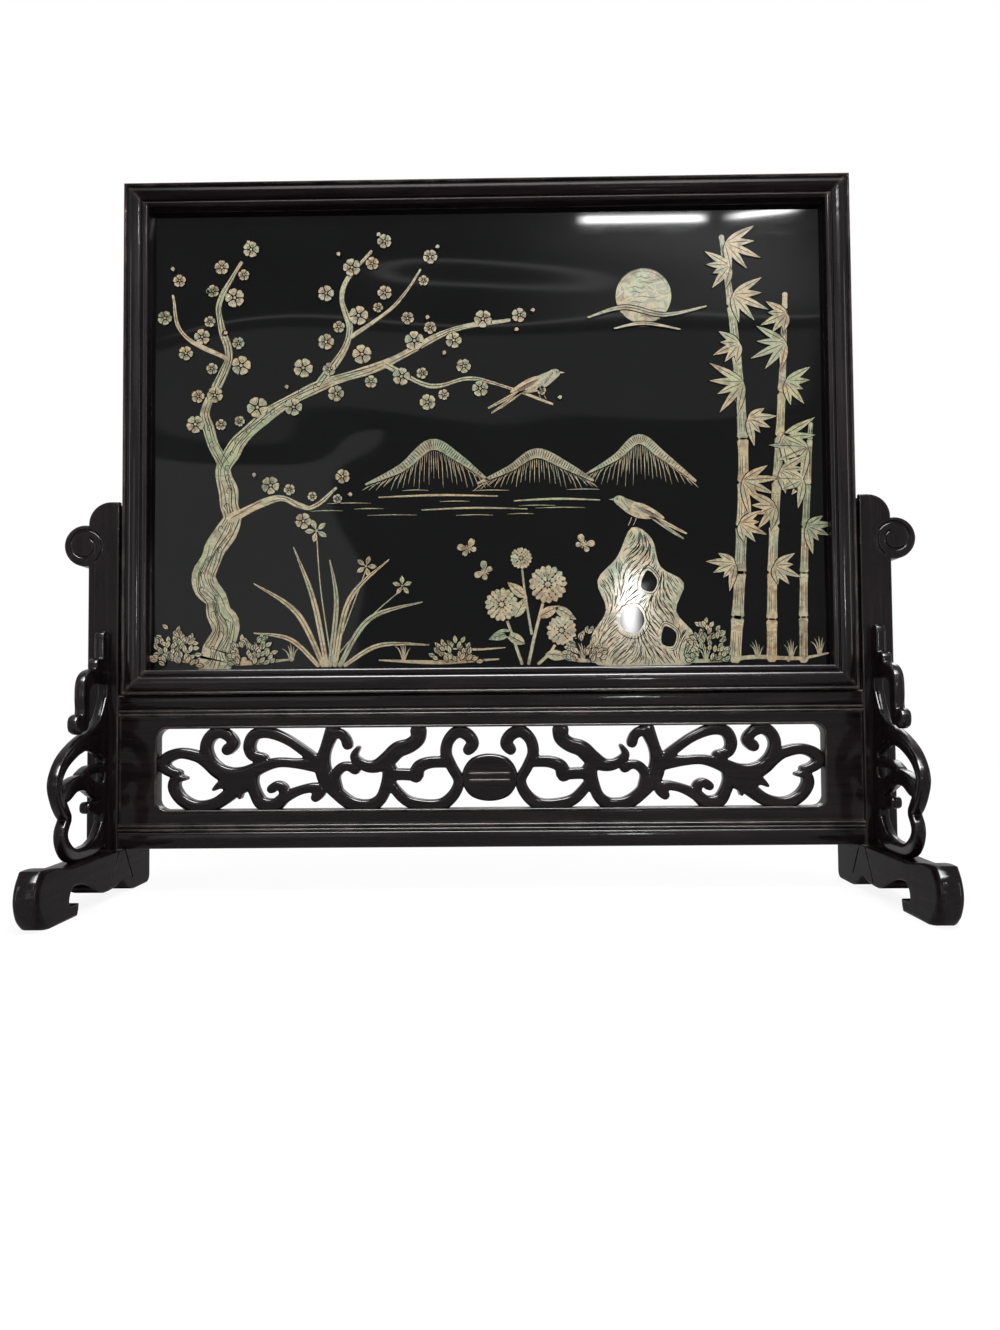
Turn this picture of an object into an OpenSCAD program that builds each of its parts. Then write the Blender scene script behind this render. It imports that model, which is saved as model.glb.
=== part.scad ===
// Table screen: a framed lacquer panel with shell inlay in a carved hardwood stand.
// The framed screen slides down between two grooved posts and lifts straight out.
// Millimetres, +Z up, front towards -Y, origin on the table under the middle of the box.

/* [Screen frame] */
// Outer width of the framed screen
screen_w = 440; // [400:1:480]
// Outer height of the framed screen
screen_h = 312; // [280:1:340]
// Frame thickness, front to back
frame_t = 23; // [22.5:0.5:28]
// Face width of the frame members
frame_face = 15; // [14:0.5:18]
// How far the frame front stands before the post centre plane
frame_front = 12; // [11:0.5:14]
// Width of the outer rounded band
outer_band_w = 1.9; // [1.5:0.1:2.5]
// Width of the middle rounded band
middle_band_w = 8.5; // [8:0.1:9]
// Width of the quirks between the bands
quirk_w = 0.5; // [0.3:0.1:0.8]
// Depth of the quirks behind the frame front
quirk_depth = 1.9; // [1.6:0.1:2.5]
// How far the outer band stays behind the frame front
outer_band_drop = 0.9; // [0:0.1:1.5]
// How far the inner bead stays behind the frame front
bead_drop = 0.5; // [0:0.1:1.5]

/* [Panel and back] */
// Depth of the lacquer panel behind the frame front
panel_recess = 9; // [9:0.5:12]
// Thickness of the lacquer panel
panel_t = 6; // [4:0.5:6.5]
// How far the rabbet reaches under the frame
rabbet_w = 6; // [5:0.5:6.5]
// Gap between the boards and the rabbet
board_clear = 0.3; // [0.1:0.05:0.6]
// Thickness of the back board
back_t = 3; // [2:0.5:3.5]
// Thickness of the shell inlay
inlay_t = 0.6; // [0.4:0.1:1]
// Gap between neighbouring shell pieces
inlay_gap = 0.4; // [0.2:0.1:0.8]
// Radius of the brads that hold the back board
brad_r = 0.6; // [0.4:0.1:0.7]
// Length of a brad
brad_len = 9; // [7:0.5:10]
// How much of a brad is driven into the frame
brad_hold = 5; // [3:0.5:5.5]
// Brads along each stile
brads_on_stile = 3; // [2:1:5]
// Brads along each frame rail
brads_on_rail = 4; // [2:1:6]

/* [Frame joinery] */
// Side of the square corner spline
spline_w = 6.5; // [5:0.5:7]
// Thickness of the corner spline
spline_t = 3; // [2:0.5:4]
// How far the spline stays inside the outer edges
spline_inset = 1.5; // [1:0.5:2]
// How far the spline stays before the frame's back
spline_back = 4; // [3.5:0.5:6]
// Thickness of the tongue strip
tongue_t = 8; // [6:0.5:9]
// How deep the tongue strip is let into the stile
tongue_seat = 4; // [3:0.5:5]
// How deep the tongue strip reaches into the post
tongue_engage = 4; // [3:0.5:5]
// Height of the tongue's lower end above the frame's underside
tongue_start = 12; // [10:1:20]
// How far the tongue stops below the post top
tongue_drop = 3; // [2:0.5:8]
// Gap between tongue and groove on each cheek
groove_clear = 0.3; // [0.2:0.05:0.6]
// Gap between tongue and groove bottom
groove_end_clear = 0.5; // [0.3:0.1:1]

/* [Posts] */
// Width of a post seen from the front
post_w = 18.6; // [17:0.1:22]
// Thickness of a post, front to back
post_t = 16; // [14:0.5:20]
// Height of the post top above the table
post_top = 237; // [215:1:260]
// Radius of the rounded shoulder
shoulder_r = 13.5; // [8:0.5:16]
// Radius of the scroll ear
ear_r = 12.5; // [10:0.5:14]
// How far the ear's middle stands outside the post
ear_out = 2.2; // [1:0.2:6]
// How far the ear's middle lies below the post top
ear_drop = 26.5; // [22:0.5:34]
// Radius of the ring cut into the ear
ear_ring_r = 7.6; // [5:0.2:8.4]
// Width and depth of that ring
ear_ring_cut = 1; // [0.5:0.1:1.5]
// Gap between the screen and each post
screen_gap = 2.6; // [1.5:0.1:3.5]
// Length of the tenon under a post
post_tenon_len = 15; // [10:0.5:17]
// Shoulder around that tenon, side to side
post_tenon_shoulder = 3.5; // [2.5:0.5:5]
// Thickness of that tenon, front to back
post_tenon_t = 9; // [7:0.5:11]

/* [Rails] */
// Height of the lower rail's underside above the table
rail_lift = 28; // [27.5:0.5:34]
// Height of the lower rail
lower_rail_h = 14.4; // [12:0.2:18]
// Height of the upper rail
upper_rail_h = 13.1; // [11:0.1:16]
// Height of the pierced board between the rails
fret_h = 64.5; // [56:0.5:76]
// Thickness of the rails
rail_t = 15; // [13:0.5:16]
// Height of each small bead on a rail
rail_bead_h = 2.2; // [1.6:0.1:2.4]
// Depth of the quirks on a rail
rail_quirk_depth = 1.4; // [1:0.1:2.2]
// Length of the rail tenons
rail_tenon_len = 10; // [7:0.5:12]
// Thickness of the rail tenons
rail_tenon_t = 7; // [5:0.5:8]
// Shoulder above and below the rail tenons
rail_tenon_shoulder = 3; // [2.5:0.25:3.5]
// Gap left at the blind end of a mortise
mortise_clear = 0.5; // [0.3:0.1:1]

/* [Pierced board] */
// Thickness of the pierced board
fret_t = 10; // [8:0.5:11]
// Solid width at each end of the pierced board
fret_end = 22.5; // [18:0.5:32]
// Solid border above the opening
fret_top_border = 7.4; // [5:0.2:10]
// Solid border below the opening
fret_low_border = 8.4; // [6:0.2:12]
// Corner radius of the opening
fret_corner_r = 6; // [3:0.5:9]
// Width of the bead around the opening
fret_bead_w = 1.6; // [1:0.1:2.5]
// Height of the bead around the opening
fret_bead_h = 0.8; // [0.4:0.1:1.2]
// Thickness of the tongues on the board's long edges
fret_tongue_t = 4; // [3:0.5:5]
// Height of those tongues
fret_tongue_h = 3; // [2:0.25:3.5]

/* [Feet] */
// Reach of the toe before the post centre plane
toe_reach = 113; // [105:1:130]
// Reach of the heel behind the post centre plane
heel_reach = 48; // [45:1:70]
// Height of the foot at the post
foot_h = 27; // [25:0.5:27.5]
// Height of the foot at the toe
toe_h = 30.5; // [29:0.5:34]
// How far the toe bulges forward of its corners
toe_bulge = 8; // [4:0.5:11]
// Length of the round under the toe
toe_round = 8; // [5:0.5:10]
// How much thinner the foot is at the toe
toe_taper = 5.5; // [0:0.5:6.5]
// Radius of the round bite behind the toe
bite_r = 7.6; // [6:0.2:8.5]
// Height of the bite's middle
bite_z = 8.9; // [8:0.1:10]
// Distance of the bite's middle behind the toe
bite_back = 47; // [42:1:52]
// Height of the hook lip
lip_h = 6.5; // [5:0.25:7.5]
// How far the hook lip reaches behind the bite's middle
lip_reach = 4.5; // [3:0.5:6]
// Height of the drop's lowest point
drop_z = 5.5; // [4:0.25:7]
// Distance of the drop's lowest point before the post centre plane
drop_reach = 24; // [20:1:28]
// Height of the notch in the middle of the foot
notch_z = 8.5; // [7.5:0.25:9.5]
// Length of the flat under the heel
heel_flat = 20; // [14:1:24]
// Radius of the heel's lower corner
heel_r = 5; // [3:0.5:6]
// Width and depth of the lines cut into the foot's inner side
scribe_cut = 0.7; // [0.4:0.1:1]

/* [Spandrels] */
// Thickness of the spandrels
spandrel_t = 6.5; // [5:0.5:9]
// Distance of the spandrels from the post's inner side
spandrel_inset = 5; // [3:0.5:6]
// Height of the spandrels
spandrel_h = 131.5; // [115:0.5:145]
// Reach of a front spandrel before the post
spandrel_reach = 71.5; // [60:0.5:80]
// Reach of a rear spandrel behind the post
rear_spandrel_reach = 34; // [28:0.5:36]

/* [Pegs] */
// Radius of the pegs and dowels
peg_r = 1.5; // [1:0.1:1.8]
// Gap around a peg in its hole
peg_clear = 0.05; // [0.02:0.01:0.1]
// Depth of a rail peg from the back of the post
rail_peg_len = 11; // [9:0.5:13]
// Depth of a foot peg from the foot's outer side
foot_peg_len = 13; // [9:0.5:15]
// Length of a spandrel dowel in the foot or post
dowel_hold = 6; // [4:0.5:7]
// Length of a spandrel dowel in the spandrel
dowel_up = 4; // [3:0.5:4.5]

/* [Hidden] */
$fn = 64;

wood = "#2b1c1a";
lacquer = "#101012";
shell = "#d8c79a";
bamboo_peg = "#6b4a2c";
steel = "#8a8a88";

// Overshoot of cutting shapes
cut = 1;
// Steps along each stretch of a curve
curve_steps = 4;
// Steps across a rounded band
band_steps = 10;
// Steps around a small corner or curve
corner_steps = 6;
// Sides of a stroke's round end
stroke_sides = 14;
// Steps along one lobe of a flower and along a leaf
lobe_steps = 4;
leaf_steps = 4;
// Tiny growth that joins touching outlines
merge = 0.01;

// Post faces
post_in = screen_w / 2 + screen_gap;
post_out = post_in + post_w;

// Levels
lower_rail_top = rail_lift + lower_rail_h;
upper_rail_low = lower_rail_top + fret_h;
screen_z = upper_rail_low + upper_rail_h;
sight_z = screen_z + frame_face;
sight_w = screen_w - 2 * frame_face;
sight_h = screen_h - 2 * frame_face;

// Depths, from front to back
panel_front = -frame_front + panel_recess;
panel_back = panel_front + panel_t;
back_rear = panel_back + back_t;
spline_y = frame_t - frame_front - spline_t - spline_back;

// Everything is drawn around the post centre plane, then moved to the middle of the box
middle_shift = (toe_reach - heel_reach) / 2;

// Points of an arc
function arc(c, r, a0, a1, n) =
    [for (i = [0:n]) c + r * [cos(a0 + (a1 - a0) * i / n), sin(a0 + (a1 - a0) * i / n)]];

// Points of a cubic curve with two handles
function handle_curve(a, b, c, d, n) =
    [for (i = [0:n]) let (t = i / n, s = 1 - t)
        s * s * s * a + 3 * s * s * t * b + 3 * s * t * t * c + t * t * t * d];

// One point of a smooth curve between b and c
function blend(a, b, c, d, t) =
    0.5 * (2 * b + (c - a) * t + (2 * a - 5 * b + 4 * c - d) * t * t
        + (3 * b - a - 3 * c + d) * t * t * t);

// Smooth curve through points, open or closed
function open_curve(p, n = curve_steps) = let (last = len(p) - 1) concat(
    [for (i = [0:last - 1]) for (j = [0:n - 1])
        blend(p[max(i - 1, 0)], p[i], p[i + 1], p[min(i + 2, last)], j / n)],
    [p[last]]);
function closed_curve(p, n = curve_steps) = let (m = len(p))
    [for (i = [0:m - 1]) for (j = [0:n - 1])
        blend(p[(i + m - 1) % m], p[i], p[(i + 1) % m], p[(i + 2) % m], j / n)];

function flat(v) = [v[0], v[1]];
function side(v) = [-v[1], v[0]] / norm(v);

// A brush stroke along points of place and width
module stroke(points) {
    c = open_curve(points);
    last = len(c) - 1;
    dirs = [for (i = [0:last]) side(flat(c[min(i + 1, last)] - c[max(i - 1, 0)]))];
    left = [for (i = [0:last]) flat(c[i]) + dirs[i] * c[i][2] / 2];
    right = [for (i = [0:last]) flat(c[i]) - dirs[i] * c[i][2] / 2];
    for (i = [0:last - 1])
        polygon([left[i], left[i + 1], right[i + 1], right[i]]);
    for (e = [c[0], c[last]])
        translate(flat(e)) circle(d = e[2], $fn = stroke_sides);
}

module strokes(list) {
    for (points = list) stroke(points);
}

// One clean outline around overlapping shapes
module merged() {
    offset(delta = merge) children();
}

// Pairs of pieces on the two sides
module both_sides() {
    children();
    mirror([1, 0, 0]) children();
}

// The place of the whole object
module placed() {
    translate([0, middle_shift, 0]) children();
}

// An outline in the YZ plane, extruded along X
module along_x(x0, length) {
    translate([x0, 0, 0]) rotate([90, 0, 90]) linear_extrude(length) children();
}

// An outline in the XZ plane, extruded backwards from a front plane
module along_y(y0, depth) {
    translate([0, y0 + depth, 0]) rotate([90, 0, 0]) linear_extrude(depth) children();
}

// Points across one rounded band, from spring line over the crest
function band(from, to, spring, crest) =
    [for (i = [0:band_steps]) let (a = 180 * i / band_steps)
        [(from + to) / 2 - (to - from) / 2 * cos(a), spring - (spring - crest) * sin(a)]];

// Section of a frame member: distance from the outer edge, depth behind the front
function frame_section() = let (
        middle_from = outer_band_w + quirk_w,
        middle_to = middle_from + middle_band_w,
        bead_from = middle_to + quirk_w,
        rabbet = frame_face - rabbet_w)
    concat(
        band(0, outer_band_w, quirk_depth, outer_band_drop),
        band(middle_from, middle_to, quirk_depth, 0),
        band(bead_from, frame_face, quirk_depth, bead_drop),
        [[frame_face, panel_recess], [rabbet, panel_recess], [rabbet, frame_t], [0, frame_t]]);

// Mitred frame member lying along X with its outer edge at Z 0
module frame_member(length) {
    translate([0, -frame_front, 0]) intersection() {
        along_x(0, length) polygon([for (p = frame_section()) [p[1], p[0]]]);
        along_y(-cut, frame_t + 2 * cut)
            polygon([[0, 0], [length, 0], [length - frame_face, frame_face], [frame_face, frame_face]]);
    }
}

// Square splines across the four mitres
module corner_splines() {
    reach_x = screen_w / 2 - spline_inset - spline_w;
    high = screen_z + screen_h - spline_inset - spline_w;
    for (z = [screen_z + spline_inset, high])
        both_sides() translate([reach_x, spline_y, z]) cube([spline_w, spline_t, spline_w]);
}

// Brads along the rabbet, half in the frame and half over the back board
module brads(gap) {
    start = frame_face - rabbet_w - brad_hold;
    y = back_rear + brad_r;
    for (i = [1:brads_on_stile])
        both_sides()
            translate([screen_w / 2 - start, y, screen_z + screen_h * i / (brads_on_stile + 1)])
                rotate([0, -90, 0]) cylinder(r = brad_r + gap, h = brad_len);
    for (i = [1:brads_on_rail], top = [0, 1])
        translate([screen_w * (i / (brads_on_rail + 1) - 0.5), y,
                screen_z + (top == 1 ? screen_h - start - brad_len : start)])
            cylinder(r = brad_r + gap, h = brad_len);
}

// Tongue strip in the right stile's outer edge
module tongue_strip() {
    z0 = screen_z + tongue_start;
    translate([screen_w / 2 - tongue_seat, -tongue_t / 2, z0])
        cube([tongue_seat + screen_gap + tongue_engage, tongue_t, post_top - tongue_drop - z0]);
}

module right_stile() {
    difference() {
        translate([screen_w / 2, 0, screen_z]) rotate([0, -90, 0]) frame_member(screen_h);
        corner_splines();
        tongue_strip();
        brads(peg_clear);
    }
}

module frame_left_stile() { color(wood) placed() mirror([1, 0, 0]) right_stile(); }

module frame_right_stile() { color(wood) placed() right_stile(); }

module frame_top_rail() {
    color(wood) placed() difference() {
        translate([-screen_w / 2, 0, screen_z + screen_h]) mirror([0, 0, 1]) frame_member(screen_w);
        corner_splines();
        brads(peg_clear);
    }
}

module frame_bottom_rail() {
    color(wood) placed() difference() {
        translate([-screen_w / 2, 0, screen_z]) frame_member(screen_w);
        corner_splines();
        brads(peg_clear);
    }
}

module frame_corner_splines() { color(bamboo_peg) placed() corner_splines(); }

module left_tongue_strip() { color(wood) placed() mirror([1, 0, 0]) tongue_strip(); }

module right_tongue_strip() { color(wood) placed() tongue_strip(); }

// A board that fills the rabbet
module rabbet_board(front, thick) {
    w = sight_w + 2 * (rabbet_w - board_clear);
    h = sight_h + 2 * (rabbet_w - board_clear);
    translate([-w / 2, front, sight_z + sight_h / 2 - h / 2]) cube([w, thick, h]);
}

module lacquer_panel() { color(lacquer) placed() rabbet_board(panel_front, panel_t); }

module back_board() { color(lacquer) placed() rabbet_board(panel_back, back_t); }

module back_board_brads() { color(steel) placed() brads(0); }

// The inlaid picture, drawn on a field with its origin at the middle of the lower edge and trimmed to it
picture_w = 410;
picture_h = 282;

module inlay() {
    color(shell) placed() translate([0, 0, sight_z]) along_y(panel_front - inlay_t, inlay_t)
        scale([sight_w / picture_w, sight_h / picture_h]) merged() intersection() {
            children();
            translate([inlay_gap - picture_w / 2, inlay_gap])
                square([picture_w - 2 * inlay_gap, picture_h - 2 * inlay_gap]);
        }
}

// Flower outline with rounded lobes
module rosette(r, lobes, depth) {
    steps = lobes * lobe_steps;
    polygon([for (i = [0:steps - 1]) let (a = 360 * i / steps)
        r * (1 - depth + depth * abs(cos(lobes * a / 2))) * [cos(a), sin(a)]]);
}

// Pointed leaf along X
module leaf(length, wide) {
    n = leaf_steps;
    polygon(concat(
        [for (i = [0:n]) [length * i / n, wide / 2 * sin(180 * i / n)]],
        [for (i = [n - 1:-1:1]) [length * i / n, -wide / 2 * sin(180 * i / n)]]));
}

moon_at = [96, 226];
moon_r = 17;
moon_clouds = [
    [[62, 213, 1.2], [84, 219, 2.8], [108, 214, 2.6], [134, 219, 1.2]],
    [[78, 206, 1], [96, 209, 2.2], [118, 205, 1]]
];

module inlay_moon() {
    inlay() {
        difference() {
            translate(moon_at) circle(r = moon_r);
            offset(delta = inlay_gap) strokes(moon_clouds);
        }
        strokes(moon_clouds);
    }
}

hill_ridges = [
    [[-74, 112, 1.2], [-52, 122, 5], [-34, 136, 7], [-18, 128, 5], [0, 114, 1.5]],
    [[-6, 112, 1.2], [14, 121, 4], [30, 130, 6], [48, 122, 5], [64, 113, 1.5]],
    [[60, 117, 1], [78, 127, 4], [92, 138, 6], [106, 128, 5], [126, 112, 1.5]]
];
water_lines = [
    [[-66, 104, 0.8], [-30, 105, 1.4], [6, 104, 0.8]],
    [[16, 101, 0.8], [42, 102, 1.4], [68, 101, 0.8]],
    [[-40, 96, 0.8], [-8, 97, 1.2], [24, 96, 0.8]]
];

module inlay_hills() {
    inlay() strokes(concat(hill_ridges, water_lines));
}

plum_limbs = [
    [[-168, 1, 20], [-160, 28, 16], [-172, 58, 14], [-156, 92, 12], [-160, 124, 10], [-138, 152, 8],
        [-104, 172, 6.5], [-62, 186, 5], [-22, 206, 3.5], [14, 212, 2.2]],
    [[-160, 124, 8], [-172, 156, 6], [-158, 190, 5], [-164, 222, 3.5], [-150, 250, 2]],
    [[-104, 172, 5], [-84, 202, 4], [-88, 232, 3], [-70, 256, 1.8]],
    [[-62, 186, 3.5], [-34, 172, 2.8], [-6, 176, 2.2], [40, 160, 1.5]],
    [[-156, 92, 6], [-128, 104, 4], [-108, 98, 3], [-92, 110, 1.8]],
    [[-158, 190, 3], [-186, 206, 2.4], [-192, 230, 1.6]],
    [[-84, 202, 2.6], [-56, 222, 2], [-40, 244, 1.4]]
];
plum_flowers = [
    [-140, 160, 6.5], [-118, 160, 5.5], [-112, 184, 6], [-92, 168, 5], [-76, 192, 6], [-52, 178, 5.5],
    [-44, 200, 6], [-20, 200, 5], [-2, 213, 5.5], [20, 215, 4.5], [-178, 150, 5.5], [-166, 168, 5],
    [-150, 186, 6], [-174, 204, 5], [-154, 228, 6], [-162, 247, 4.5], [-144, 258, 5], [-98, 200, 5],
    [-78, 216, 6], [-98, 230, 5], [-82, 246, 5.5], [-62, 262, 4.5], [-36, 162, 5], [-14, 184, 4.5],
    [-4, 170, 5], [-132, 112, 5.5], [-112, 90, 5], [-88, 117, 4.5], [-184, 194, 4.5], [-197, 216, 4.5],
    [-188, 239, 4], [-62, 230, 4.5], [-48, 214, 4], [-34, 252, 4.5]
];
plum_turn = 11;
plum_lobes = 5;
plum_notch = 0.3;

module plum_heads() {
    for (f = plum_flowers)
        translate(flat(f)) rotate(plum_turn * f[0]) rosette(f[2], plum_lobes, plum_notch);
}

module inlay_plum_branches() {
    inlay() difference() {
        strokes(plum_limbs);
        offset(delta = inlay_gap) plum_heads();
        offset(delta = inlay_gap) birds();
    }
}

module inlay_plum_blossoms() { inlay() plum_heads(); }

bamboo_canes = [
    [[148, 4, 7], [152, 60, 6.6], [155, 130, 6], [151, 200, 5], [144, 262, 3]],
    [[170, 4, 6], [172, 70, 5.5], [178, 150, 4.8], [182, 226, 3]],
    [[189, 3, 5], [190, 50, 4.6], [193, 104, 4], [196, 146, 2.6]]
];
bamboo_tufts = [[150, 226], [156, 172], [154, 112], [182, 196], [178, 138], [194, 132], [146, 258]];
bamboo_joint_step = 27;
bamboo_joint_from = 138;
bamboo_joint_len = 66;
bamboo_leaves = 5;
bamboo_leaf = [18, 4.6];
bamboo_leaf_grow = 3;
bamboo_leaf_droop = 24;
bamboo_leaf_fan = 27;

module inlay_bamboo() {
    inlay() {
        difference() {
            strokes(bamboo_canes);
            for (q = [bamboo_joint_step:bamboo_joint_step:picture_h])
                translate([bamboo_joint_from, q]) square([bamboo_joint_len, inlay_gap]);
        }
        for (k = [0:len(bamboo_tufts) - 1], i = [0:bamboo_leaves - 1])
            translate(bamboo_tufts[k]) mirror([k % 2, 0])
                rotate((i - floor(bamboo_leaves / 2)) * bamboo_leaf_fan - bamboo_leaf_droop)
                    leaf(bamboo_leaf[0] + bamboo_leaf_grow * ((i + k) % 3), bamboo_leaf[1]);
    }
}

rock_outline = [[66, 1], [62, 18], [71, 34], [66, 52], [78, 66], [87, 84], [99, 77], [104, 60], [118, 50],
    [113, 33], [124, 18], [121, 1]];
rock_holes = [
    [[80, 24], [88, 20], [94, 27], [90, 36], [81, 34]],
    [[92, 48], [99, 45], [102, 52], [96, 58]],
    [[104, 14], [111, 12], [113, 20], [106, 24]]
];

module inlay_rock() {
    inlay() difference() {
        polygon(closed_curve(rock_outline));
        for (h = rock_holes) polygon(closed_curve(h));
    }
}

orchid_blades = [
    [[-100, 2, 3], [-116, 34, 3.4], [-142, 52, 0.8]], [[-98, 2, 3], [-106, 42, 3.2], [-118, 74, 0.8]],
    [[-96, 2, 3], [-92, 40, 3], [-96, 66, 0.8]], [[-93, 2, 3], [-84, 42, 3.2], [-60, 66, 0.8]],
    [[-90, 2, 3], [-72, 30, 3.2], [-40, 40, 0.8]], [[-87, 2, 2.6], [-66, 14, 2.8], [-36, 14, 0.8]],
    [[-103, 2, 2.6], [-120, 18, 2.8], [-142, 22, 0.8]]
];
orchid_flowers = [[-74, 62, 6], [-104, 84, 6.5], [-52, 50, 5.5]];
orchid_lobes = 5;
orchid_notch = 0.55;

module inlay_orchids() {
    inlay() {
        strokes(orchid_blades);
        for (f = orchid_flowers) translate(flat(f)) rotate(f[0]) rosette(f[2], orchid_lobes, orchid_notch);
    }
}

daisy_heads = [[36, 50, 12], [8, 38, 10.5], [44, 22, 9.5], [20, 66, 7]];
daisy_stems = [
    [[24, 2, 2], [28, 20, 2], [36, 50, 1.6]], [[20, 2, 2], [14, 20, 1.8], [8, 38, 1.4]],
    [[30, 2, 2], [38, 10, 1.8], [44, 22, 1.4]], [[26, 20, 1.6], [22, 46, 1.4], [20, 66, 1.2]]
];
daisy_leaves = [[22, 14, 150], [30, 30, 28], [14, 22, 200], [34, 8, -8], [23, 42, 140]];
daisy_leaf = [15, 6];
daisy_lobes = 11;
daisy_notch = 0.2;

module inlay_chrysanthemums() {
    inlay() {
        strokes(daisy_stems);
        for (f = daisy_heads) translate(flat(f)) rosette(f[2], daisy_lobes, daisy_notch);
        for (l = daisy_leaves) translate(flat(l)) rotate(l[2]) leaf(daisy_leaf[0], daisy_leaf[1]);
    }
}

// Small perched bird facing +X, with its feet near the origin
bird_strokes = [
    [[-14, 2, 1.5], [-7, 4, 6], [1, 7, 9.5], [8, 12, 7], [13.5, 13.5, 0.8]],
    [[-8, 4, 3], [-20, -3, 3.4], [-31, -9, 2]]
];
bird_on_branch = [32, 166];
bird_on_rock = [89, 88];

module bird() { strokes(bird_strokes); }

module birds() {
    translate(bird_on_branch) bird();
    translate(bird_on_rock) mirror([1, 0]) bird();
}

module inlay_birds() { inlay() birds(); }

// Post with a rounded shoulder
module post_outline() {
    polygon(concat(
        [[post_in, foot_h], [post_out, foot_h]],
        arc([post_out - shoulder_r, post_top - shoulder_r], shoulder_r, 0, 90, band_steps),
        [[post_in, post_top]]));
}

module on_ear(y, depth, r) {
    translate([post_out + ear_out, y, post_top - ear_drop]) rotate([-90, 0, 0]) cylinder(r = r, h = depth);
}

// Ring cut into one face of the ear
module ear_ring(y) {
    difference() {
        on_ear(y, 2 * ear_ring_cut, ear_ring_r + ear_ring_cut / 2);
        on_ear(y - cut, 2 * ear_ring_cut + 2 * cut, ear_ring_r - ear_ring_cut / 2);
    }
}

module post_tenon(extra) {
    x0 = post_in + post_tenon_shoulder;
    translate([x0, -post_tenon_t / 2, foot_h - post_tenon_len - extra])
        cube([post_w - 2 * post_tenon_shoulder, post_tenon_t, post_tenon_len + extra]);
}

module rail_tenon(z, h, extra) {
    translate([post_in, -rail_tenon_t / 2, z + rail_tenon_shoulder])
        cube([rail_tenon_len + extra, rail_tenon_t, h - 2 * rail_tenon_shoulder]);
}

module rail_tenons(extra) {
    rail_tenon(rail_lift, lower_rail_h, extra);
    rail_tenon(upper_rail_low, upper_rail_h, extra);
}

// Pegs from the back of the post through the rail tenons
module side_rail_pegs(gap) {
    for (z = [rail_lift + lower_rail_h / 2, upper_rail_low + upper_rail_h / 2])
        translate([post_in + rail_tenon_len / 2, post_t / 2, z]) rotate([90, 0, 0])
            cylinder(r = peg_r + gap, h = rail_peg_len);
}

// Peg from the foot's outer side through the post tenon
module side_foot_peg(gap) {
    translate([post_out, 0, foot_h - post_tenon_len / 2]) rotate([0, -90, 0])
        cylinder(r = peg_r + gap, h = foot_peg_len);
}

// Size of the spandrel drawing, and the dowels' places in it
drawn_reach = 71.5;
drawn_rise = 131.5;
dowel_forward = 27;
dowel_high = 36;

// Dowels between one spandrel, the foot and the post
module spandrel_dowel_pair(dir, reach, gap) {
    x = post_in + spandrel_inset + spandrel_t / 2;
    face = dir * post_t / 2;
    translate([x, face + dir * reach * dowel_forward / drawn_reach, foot_h - dowel_hold])
        cylinder(r = peg_r + gap, h = dowel_hold + dowel_up);
    translate([x, face - dir * dowel_hold, foot_h + spandrel_h * dowel_high / drawn_rise])
        rotate([-90 * dir, 0, 0]) cylinder(r = peg_r + gap, h = dowel_hold + dowel_up);
}

module side_dowels(gap) {
    spandrel_dowel_pair(-1, spandrel_reach, gap);
    spandrel_dowel_pair(1, rear_spandrel_reach, gap);
}

module post() {
    difference() {
        union() {
            along_y(-post_t / 2, post_t) post_outline();
            on_ear(-post_t / 2, post_t, ear_r);
            post_tenon(0);
        }
        ear_ring(-post_t / 2 - ear_ring_cut);
        ear_ring(post_t / 2 - ear_ring_cut);
        translate([post_in - cut, -tongue_t / 2 - groove_clear, screen_z])
            cube([tongue_engage + groove_end_clear + cut, tongue_t + 2 * groove_clear, screen_h]);
        rail_tenons(mortise_clear);
        side_rail_pegs(peg_clear);
        side_foot_peg(peg_clear);
        side_dowels(peg_clear);
    }
}

module left_post() { color(wood) placed() mirror([1, 0, 0]) post(); }

module right_post() { color(wood) placed() post(); }

// Where the foot's top starts and stops swelling, before and behind the spandrel's end
swell_before = 12;
swell_after = 4;
// Share of the toe's lower bow kept before it turns under, and the handles of that turn
toe_bow = 0.5;
toe_bow_handle = 5;
toe_sole_handle = 7;
// Shape of the hook lip: slope, rounding and hollow
lip_slope = 2;
lip_round = 0.5;
lip_hollow = 1.2;
// Lengths of the handles that bend the underside
bite_handle = 18;
drop_handle = 11;
notch_handle = 9;
heel_handle = 8;
// Half widths of the flat spots at the bite, the drop and the notch
bite_flat = 1;
drop_flat = 1;
notch_flat = 0.5;

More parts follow.
